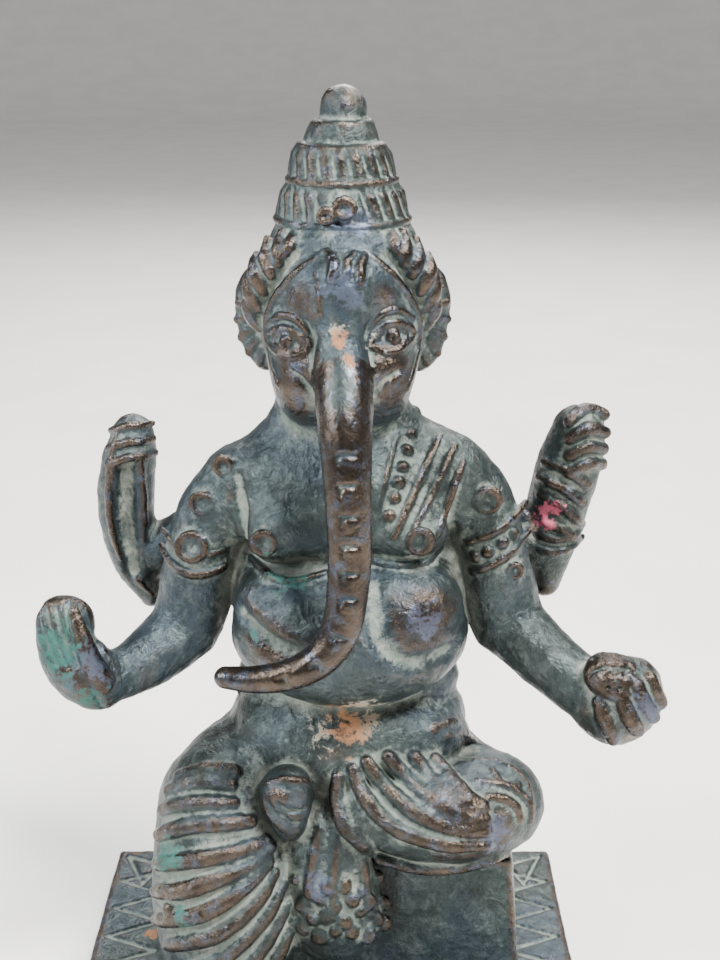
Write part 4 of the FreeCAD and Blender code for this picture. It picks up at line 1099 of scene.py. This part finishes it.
def folded_leg_pieces(masses):
    """The folded leg: curved pleats that meet at the knee, and a foot turned up in front."""
    skin = masses["folded_thigh"] + masses["folded_shin"]
    lines = (
        ((-8.4, 6.6), (-8.5, 3.8), (-7.6, 1.1), (-5.4, -1.5)),
        ((-7.1, 7.3), (-6.0, 4.4), (-3.4, 1.3), (0.9, -0.6), (5.4, -0.9)),
        ((-5.8, 8.1), (-4.2, 5.6), (-1.7, 3.0), (1.8, 1.2), (5.4, 0.6)),
        ((-3.8, 8.7), (-2.1, 6.4), (0.1, 4.1), (2.9, 2.4), (5.2, 1.8)),
        ((-1.3, 8.6), (0.0, 6.4), (1.8, 4.4), (4.0, 3.0)),
        ((0.7, 8.3), (2.1, 5.9), (3.6, 4.1), (5.0, 3.3)),
    )
    on = skin + lap_masses()
    pleats = [
        ridge(on, across("folded_pleats", -0.2, *line), PLEAT_WIDTH, blend=0.6, look=LEG_SIGHT)
        for line in lines
    ]
    pleats.append(ridge(skin,
                        across("folded_pleats", -0.2, (-4.6, -2.5), (-1.0, -3.3), (3.0, -3.3), (7.6, -2.1)),
                        0.7, blend=0.4, look=LEG_SIGHT))
    knee_lines = (
        ((3.5, 7.4), (5.5, 7.6), (7.2, 6.4), (8.2, 4.9), (8.8, 2.7)),
        ((3.5, 5.3), (5.4, 5.0), (7.3, 4.1), (8.5, 2.6), (8.6, 0.9)),
        ((4.4, 3.5), (6.0, 3.3), (7.2, 2.3), (7.6, 1.0)),
        ((5.0, 6.5), (5.8, 4.9), (7.4, 4.7)),
    )
    knee_arcs = [
        ridge(skin, across("folded_shin", -2.2, *line), 0.42, look=LEG_SIGHT)
        for line in knee_lines
    ]
    hip_lines = (
        ((-5.4, 7.6), (-3.6, 8.4), (-2.0, 7.9)),
        ((-4.2, 7.1), (-2.5, 7.5), (-0.9, 6.5)),
    )
    hip_arcs = [ridge(on, across("folded_thigh", -4.8, *line), 0.42, look=LEG_SIGHT) for line in hip_lines]
    foot = [
        mass("folded_foot", (-1.2, 0.2, 0.8), (2.5, 2.4, 2.8), turn=(20, 10, 0)),
        mass("folded_foot", (-0.9, -0.2, -1.4), (1.7, 2.0, 2.6), blend=1.2),
        mass("folded_foot", (-1.8, -1.6, 1.6), (0.9, 0.9, 0.9), blend=0.6),
    ]
    foot_lines = [
        ridge(foot, across("folded_foot", -2.6, (-2.9, 3.4), (-1.5, 3.8), (0.7, 3.6)), 0.36,
              look=LEG_SIGHT),
        ridge(foot, across("folded_foot", -2.6, (-3.2, 2.0), (-2.5, -0.2), (-1.3, -1.6)), 0.3,
              look=LEG_SIGHT),
        ridge(foot, across("folded_foot", -2.6, (-2.1, 1.6), (-1.1, 0.6), (0.5, 0.6)), 0.2, cut=True,
              look=LEG_SIGHT),
        ridge(foot, across("folded_foot", -2.6, (-1.7, 0.2), (-0.7, -0.8), (0.3, -0.8)), 0.2, cut=True,
              look=LEG_SIGHT),
    ]
    return wax(folded_thigh=masses["folded_thigh"] + hip_arcs,
               folded_shin=masses["folded_shin"] + knee_arcs, folded_pleats=pleats,
               folded_foot=foot + foot_lines)


def lap_pieces():
    """The lap itself and the cloth end that falls between the legs."""
    lap = lap_masses()
    skirt = [
        ridge(lap, across("dhoti_lap", 19.4, (x, 6.1), (x * 1.12, -0.1), (x * 1.1, -5.9)), 0.5,
              look=(0, -1, 0), blend=0.5)
        for x in (-9.6, -6.4, -3.2, 0.0, 3.2, 6.4, 9.6)
    ]
    fall = [
        mass("dhoti_fall", (-0.7, 1.2, 4.4), (4.2, 3.4, 5.0)),
        mass("dhoti_fall", (-0.1, 0.4, -2.0), (4.6, 2.8, 6.4), blend=2.0),
    ]
    folds = [
        ridge(fall, across("dhoti_fall", -2.2, (x + 1.0, 8.4), (x * 1.4 + 1.1, 3.4), (x * 1.8 + 1.3, -1.2)),
              0.4, blend=0.6, look=LEG_SIGHT)
        for x in (-2.4, -0.8, 1.2)
    ]
    hem = []
    for row in range(HEM_ROWS):
        for i in range(HEM_KNOBS):
            x = -3.7 + 1.55 * i + 0.7 * (row % 2)
            z = 3.0 - 1.7 * row - 1.4 * abs(math.sin(1.9 * i + row))
            place = laid(fall, near("dhoti_fall", (x, -2.2, z)), LEG_SIGHT)[0]
            size = 0.55 + 0.3 * abs(math.sin(2.3 * i + 1.7 * row))
            hem.append(lump(place, (size, 0.6, size * 1.25), turn=(0, 40 * math.sin(3.1 * i + row), 0),
                            blend=0.3))
    return wax(dhoti_lap=lap + skirt, dhoti_fall=fall + folds + hem)


# ---------------------------------------------------------------- seat and plate


def seat_pieces():
    """The tapered seat block and the flat plate with a scratched border of triangles."""
    low, high = (np.array(corner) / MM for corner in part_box("seat_block"))
    seat = [block(low, high, 0.7, lean=0.07)]
    low, high = (np.array(corner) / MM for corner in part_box("base_plate"))
    plate = [block(low, high, 0.5)]
    top = high[2]
    frame_low, frame_high = low + TRIANGLE_INSET, high - TRIANGLE_INSET
    for axis in (0, 1):
        other = 1 - axis
        span = frame_high[axis] - frame_low[axis]
        count = int(round(span / TRIANGLE_WIDTH))
        width = span / count
        for edge, inward in ((frame_low[other], 1), (frame_high[other], -1)):
            for i in range(count):
                start, peak = frame_low[axis] + i * width, frame_low[axis] + (i + 0.5) * width
                corners = []
                tip = edge + inward * TRIANGLE_DEPTH
                for along, outward in ((start, edge), (peak, tip), (start + width, edge)):
                    corner = [0.0, 0.0, top]
                    corner[axis], corner[other] = along, outward
                    corners.append(tuple(corner) + (GROOVE_RADIUS,))
                plate.append(rope(corners[:2], blend=0.15, cut=True))
                plate.append(rope(corners[1:], blend=0.15, cut=True))
    return wax(seat_block=seat, base_plate=plate)


# ---------------------------------------------------------------- meshes


def evened_skins(skin):
    """The skin evened out over a fine and over a broad reach."""
    fine = box_blur(skin, max(1, round(FINE_REACH / LATTICE_STEP)))
    broad = box_blur(skin, max(2, round(BROAD_REACH / LATTICE_STEP)))
    return fine, broad


def outward_at(field, places):
    """Unit vectors pointing straight out of the skin at places."""
    steps = 1.2 * LATTICE_STEP * np.eye(3)
    slope = np.stack([sampled(field, places + step) - sampled(field, places - step) for step in steps],
                     axis=1)
    return slope / np.maximum(np.linalg.norm(slope, axis=1, keepdims=True), 1e-6)


def uneven(places, roughness):
    """How far hand modelling, casting and wear move the skin in or out, in mm."""
    total = sum(height * mottle(places, wavelength, seed) for height, wavelength, seed in UNEVENNESS)
    return roughness * total


def painted(places):
    """How strongly each kind of mark lies at each place: coloured residues, wear patches and the painted
    bluish sheen.
    """
    marks_by_kind = {}
    for mark_kind, spots in STAINS_AND_SHEEN.items():
        strength = np.zeros(len(places))
        for node, offset, reach in spots:
            away = np.linalg.norm(places - spot(node, offset), axis=1) / reach
            strength = np.maximum(strength, np.clip(STAIN_AND_SHEEN_CORE - away, 0, 1))
        marks_by_kind[mark_kind] = strength
    return marks_by_kind


def skinned(piece, start, field, skin, fine, broad):
    """Vertices, faces and vertex facts of one piece."""
    padded = np.pad(field, 1, constant_values=FAR).astype(np.float32)
    grid = openvdb.FloatGrid(FAR)
    grid.copyFromArray(padded)
    points, quads = grid.convertToQuads(0.0)
    places = lattice_low + (start - 1 + points.astype(float)) * LATTICE_STEP
    outward = outward_at(fine, places)
    flat = sampled(skin, places)
    outside = sampled(skin, places + outward * NOOK_REACH)
    facts = {
        "proud": np.clip((sampled(fine, places) - flat) / PROUD_HEIGHT, -1, 1),
        "swell": np.clip((sampled(broad, places) - flat) / SWELL_HEIGHT, -1, 1),
        "nook": np.clip((NOOK_REACH - outside) / NOOK_FULL, 0, 1),
    }
    facts.update(painted(places))
    places = places + outward * uneven(places, ROUGHNESS.get(piece.node, 1.0))[:, None]
    return places * MM, quads[:, ::-1], facts


def make_object(piece, made, look):
    """Turns vertices and faces into a Blender object that stands for its CAD node."""
    places, faces, facts = made
    mesh = bpy.data.meshes.new(piece.node + "_wax")
    mesh.vertices.add(len(places))
    mesh.vertices.foreach_set("co", places.astype(np.float32).ravel())
    mesh.loops.add(faces.size)
    mesh.loops.foreach_set("vertex_index", faces.astype(np.int32).ravel())
    mesh.polygons.add(len(faces))
    mesh.polygons.foreach_set("loop_start", np.arange(0, faces.size, 4, dtype=np.int32))
    mesh.update(calc_edges=True)
    mesh.shade_smooth()
    for fact, values in facts.items():
        layer = mesh.attributes.new(fact, "FLOAT", "POINT")
        layer.data.foreach_set("value", values.astype(np.float32))
    mesh.materials.append(look)
    thing = bpy.data.objects.new(piece.node + "_bronze", mesh)
    bpy.context.scene.collection.objects.link(thing)
    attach(thing, "root")
    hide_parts(piece.node)


# ---------------------------------------------------------------- bronze


class Signal:
    """A number that varies over a surface. Sums and products of signals become nodes."""

    def __init__(self, look, socket):
        self.look = look
        self.socket = socket

    def step(self, operation, other):
        """One node of arithmetic."""
        node = self.look.tree.nodes.new("ShaderNodeMath")
        node.operation = operation
        self.look.put(self, node.inputs[0])
        self.look.put(other, node.inputs[1])
        return Signal(self.look, node.outputs[0])

    def __add__(self, other):
        return self.step("ADD", other)

    def __sub__(self, other):
        return self.step("SUBTRACT", other)

    def __mul__(self, other):
        return self.step("MULTIPLY", other)

    __rmul__ = __mul__

    def clamped(self):
        """Keeps the last step between 0 and 1."""
        self.socket.node.use_clamp = True
        return self

    def between(self, low, high):
        """Rises smoothly from 0 at low to 1 at high."""
        node = self.look.tree.nodes.new("ShaderNodeMapRange")
        node.interpolation_type = "SMOOTHSTEP"
        self.look.put(self, node.inputs["Value"])
        node.inputs["From Min"].default_value = low
        node.inputs["From Max"].default_value = high
        return Signal(self.look, node.outputs["Result"])


class Look:
    """A node material under construction."""

    def __init__(self, name):
        self.material = bpy.data.materials.new(name)
        self.material.use_nodes = True
        self.tree = self.material.node_tree
        self.shader = self.tree.nodes["Principled BSDF"]
        coordinates_node = self.tree.nodes.new("ShaderNodeTexCoord")
        scale = self.tree.nodes.new("ShaderNodeVectorMath")
        scale.operation = "SCALE"
        scale.inputs["Scale"].default_value = 1 / MM
        self.tree.links.new(coordinates_node.outputs["Object"], scale.inputs[0])
        self.in_mm = scale.outputs[0]

    def put(self, value, socket):
        """Links a signal or a colour's socket, or sets a plain value."""
        if isinstance(value, Signal):
            value = value.socket
        if isinstance(value, bpy.types.NodeSocket):
            self.tree.links.new(value, socket)
        else:
            socket.default_value = value

    def fact(self, name):
        """A number stored at every vertex."""
        node = self.tree.nodes.new("ShaderNodeAttribute")
        node.attribute_name = name
        return Signal(self, node.outputs["Fac"])

    def noise(self, wavelength, detail=4.0, roughness=0.55, warp=0.0):
        """Noise of a wavelength in mm."""
        node = self.tree.nodes.new("ShaderNodeTexNoise")
        self.put(self.in_mm, node.inputs["Vector"])
        node.inputs["Scale"].default_value = 1 / wavelength
        node.inputs["Detail"].default_value = detail
        node.inputs["Roughness"].default_value = roughness
        node.inputs["Distortion"].default_value = warp
        return Signal(self, node.outputs["Fac"])

    def scratches(self, wavelength, stretch, turn):
        """Fine streaks: noise drawn out along one direction."""
        mapping = self.tree.nodes.new("ShaderNodeMapping")
        self.put(self.in_mm, mapping.inputs["Vector"])
        mapping.inputs["Rotation"].default_value = [math.radians(degrees) for degrees in turn]
        mapping.inputs["Scale"].default_value = (1.0, 1.0, 1 / stretch)
        node = self.tree.nodes.new("ShaderNodeTexNoise")
        self.put(mapping.outputs[0], node.inputs["Vector"])
        node.inputs["Scale"].default_value = 1 / wavelength
        node.inputs["Detail"].default_value = 3.0
        return Signal(self, node.outputs["Fac"])

    def pits(self, spacing):
        """Distance to the nearest of scattered points."""
        node = self.tree.nodes.new("ShaderNodeTexVoronoi")
        self.put(self.in_mm, node.inputs["Vector"])
        node.inputs["Scale"].default_value = 1 / spacing
        return Signal(self, node.outputs["Distance"])

    def blend(self, amount, a, b):
        """Mixes two colours."""
        node = self.tree.nodes.new("ShaderNodeMix")
        node.data_type = "RGBA"
        self.put(amount, node.inputs[0])
        self.put(a, node.inputs[6])
        self.put(b, node.inputs[7])
        return node.outputs[2]

    def blend_number(self, amount, a, b):
        """Mixes two numbers."""
        node = self.tree.nodes.new("ShaderNodeMix")
        self.put(amount, node.inputs[0])
        self.put(a, node.inputs[2])
        self.put(b, node.inputs[3])
        return Signal(self, node.outputs[0])

    def bump(self, height):
        """Tilts the surface by a height field."""
        node = self.tree.nodes.new("ShaderNodeBump")
        node.inputs["Strength"].default_value = BUMP_STRENGTH
        node.inputs["Distance"].default_value = BUMP_DEPTH * MM
        self.put(height, node.inputs["Height"])
        self.put(node.outputs["Normal"], self.shader.inputs["Normal"])


def old_bronze(name, wear, dust, polish):
    """Cast bronze under a thin dark green-grey patina, worn brown where proud and dusty where sunken. Nooks
    are darkened with painted shade, and some bare metal and some patches carry a painted bluish sheen.

    Wear and dust shift how much metal and how much dust shows. Polish is the roughness of bare metal.
    """
    look = Look(name)
    proud, swell, nook = look.fact("proud"), look.fact("swell"), look.fact("nook")
    broad = look.noise(13.0, detail=3.0)
    large = look.noise(4.5, detail=6.0, roughness=0.6, warp=0.8)
    middle_size = look.noise(1.6, detail=6.0, roughness=0.65, warp=0.7)
    small = look.noise(0.5, detail=5.0, roughness=0.65)
    grit = look.noise(0.16, detail=3.0, roughness=0.7)

    metal = look.blend(large.between(0.36, 0.66), BROWN_METAL, GOLDEN_METAL)
    # some bare metal tinted blue as a painted sheen
    metal = look.blend(middle_size.between(0.48, 0.70), metal, PAINTED_SHEEN_METAL)
    patina = look.blend(large.between(0.34, 0.64), DARK_PATINA, GREY_PATINA)
    patina = look.blend(0.70 * broad.between(0.42, 0.62), patina, BLUE_PATINA)
    patina = look.blend(0.45 * middle_size.between(0.44, 0.72), patina, PALE_PATINA)
    patina = look.blend(0.55 * small.between(0.56, 0.36), patina, DARK_PATINA)
    patina = look.blend(0.40 * grit.between(0.56, 0.78), patina, PALE_PATINA)

    worn = 0.85 * proud + 0.45 * swell + 2.2 * (middle_size - 0.5) + 1.6 * (large - 0.5)
    worn = worn + (1.1 * look.fact("bare") + wear) - 1.1 * look.fact("dull")
    worn = 0.9 * worn.between(0.28, 1.10)
    colour = look.blend(worn, patina, metal)
    metallic = look.blend_number(worn, 0.65, 1.0)
    roughness = look.blend_number(worn, 0.40, polish)

    sunken = 0.34 * nook - 0.80 * proud + 1.3 * (small - 0.5) + 1.6 * (large - 0.5) + 0.8 * (grit - 0.5)
    dusty = 0.80 * (sunken + dust).between(0.16, 0.85)
    colour = look.blend(dusty, colour, look.blend(middle_size.between(0.4, 0.66), GREEN_DUST, CREAM_DUST))
    metallic = look.blend_number(dusty, metallic, 0.05)
    roughness = look.blend_number(dusty, roughness, 0.88)
    # painted shade: nooks and places between parts darkened towards near-black
    colour = look.blend(0.6 * (nook - middle_size).between(0.05, 0.45), colour, NOOK_SHADE)

    # stains and patches of painted bluish sheen, each over its own mask
    for mark_kind, tint, edge, strength, shine in STAIN_AND_SHEEN_LOOKS:
        amount = look.fact(mark_kind) + 2.4 * (middle_size - 0.5) + 1.6 * (small - 0.5)
        amount = strength * amount.between(edge, edge + 0.4) * look.fact(mark_kind).between(0.0, 0.2)
        colour = look.blend(amount, colour, tint)
        metallic = look.blend_number(amount, metallic, shine)
        roughness = look.blend_number(amount, roughness, 0.85 - 0.5 * shine)

    grain = 0.55 * small + 2.0 * middle_size + 0.22 * grit + 0.3 * look.pits(0.9).between(0.0, 0.3)
    grain = grain + 0.2 * look.scratches(wavelength=0.22, stretch=9.0, turn=(15, 25, 40))
    look.bump((1.0 - 0.6 * wear) * grain)
    look.put(colour, look.shader.inputs["Base Color"])
    look.put(metallic, look.shader.inputs["Metallic"])
    look.put((roughness + 0.3 * (small - 0.5)).clamped(), look.shader.inputs["Roughness"])
    return look.material


# ---------------------------------------------------------------- building


def all_pieces():
    """The wax of every CAD node."""
    legs = leg_masses()
    pieces = seat_pieces() + lap_pieces() + pendant_leg_pieces(legs) + folded_leg_pieces(legs)
    pieces += torso_pieces() + front_arm_pieces() + rear_arm_pieces()
    pieces += crown_pieces() + head_pieces() + [trunk_piece()]
    return pieces


def cast_figure():
    """Sculpts, skins and paints every piece."""
    looks = {slot: old_bronze(slot, *feel) for slot, feel in SLOT_LOOKS.items()}
    with ThreadPoolExecutor(WORKERS) as workers:
        casts = list(workers.map(cast, pieces))
        skin = joined_skin(pieces, casts)
        fine, broad = evened_skins(skin)
        shares = workers.map(lambda index: own_share(index, casts, skin), range(len(pieces)))
        made = list(workers.map(lambda pair: skinned(pair[0], pair[1][0], pair[2], skin, fine, broad),
                                zip(pieces, casts, shares)))
    for piece, surface in zip(pieces, made):
        make_object(piece, surface, looks[SLOTS.get(piece.node, USUAL_SLOT)])


pieces = all_pieces()
lattice_low = np.min([piece.low for piece in pieces], axis=0) - LATTICE_MARGIN
lattice_high = np.max([piece.high for piece in pieces], axis=0) + LATTICE_MARGIN
lattice_size = np.ceil((lattice_high - lattice_low) / LATTICE_STEP).astype(int)
cast_figure()


# ---------------------------------------------------------------- floor, light and camera


def make_stage():
    """A pale round floor that curves up into a wall on every side."""
    radius, rise, bend, turns, steps = 1.6, 1.2, 0.5, 64, 16
    profile = [(radius - bend, 0.0)]
    for step in range(1, steps + 1):
        angle = math.pi / 2 * step / steps
        profile.append((radius - bend + bend * math.sin(angle), bend - bend * math.cos(angle)))
    profile.append((radius, rise))
    level = cad_low.z
    places = [(0.0, 0.0, level)]
    for reach, height in profile:
        for turn in range(turns):
            angle = 2 * math.pi * turn / turns
            places.append((reach * math.cos(angle), reach * math.sin(angle), height + level))
    faces = [(0, 1 + turn, 1 + (turn + 1) % turns) for turn in range(turns)]
    for row in range(len(profile) - 1):
        for turn in range(turns):
            a, b = 1 + row * turns + turn, 1 + row * turns + (turn + 1) % turns
            faces.append((a, a + turns, b + turns, b))
    mesh = bpy.data.meshes.new("floor")
    mesh.from_pydata(places, [], faces)
    mesh.shade_smooth()
    look = Look("pale_floor")
    tone = look.blend(look.noise(25.0).between(0.3, 0.7), FLOOR_TONE, FLOOR_TONE_TWO)
    look.put(tone, look.shader.inputs["Base Color"])
    look.shader.inputs["Roughness"].default_value = 0.7
    mesh.materials.append(look.material)
    floor = bpy.data.objects.new("floor", mesh)
    bpy.context.scene.collection.objects.link(floor)


def make_light(name, place, size, watts, tint):
    """A square soft light aimed at the middle of the figure."""
    light = bpy.data.lights.new(name, "AREA")
    light.size = size
    light.energy = watts
    light.color = tint
    lamp = bpy.data.objects.new(name, light)
    lamp.location = figure_middle + Vector(place)
    lamp.rotation_euler = (figure_middle - lamp.location).to_track_quat("-Z", "Y").to_euler()
    bpy.context.scene.collection.objects.link(lamp)


def make_camera():
    """Looks slightly down on the figure from close in front."""
    camera = bpy.data.objects.new("camera", bpy.data.cameras.new("camera"))
    camera.data.lens = CAMERA_LENS
    camera.data.sensor_width = CAMERA_SENSOR
    camera.data.clip_start = 0.01
    camera.location = figure_middle + Vector(CAMERA_OFFSET) * MM
    camera.rotation_euler = (math.radians(90 - CAMERA_PITCH), 0, 0)
    bpy.context.scene.collection.objects.link(camera)
    bpy.context.scene.camera = camera


def make_world():
    """Even, slightly cool light from all round."""
    world = bpy.data.worlds.new("studio")
    world.use_nodes = True
    background = world.node_tree.nodes["Background"]
    background.inputs["Color"].default_value = WORLD_TINT
    background.inputs["Strength"].default_value = WORLD_STRENGTH
    bpy.context.scene.world = world


figure_middle = (cad_low + cad_high) / 2

make_stage()
for light_settings in LIGHTS:
    make_light(*light_settings)
make_world()
make_camera()
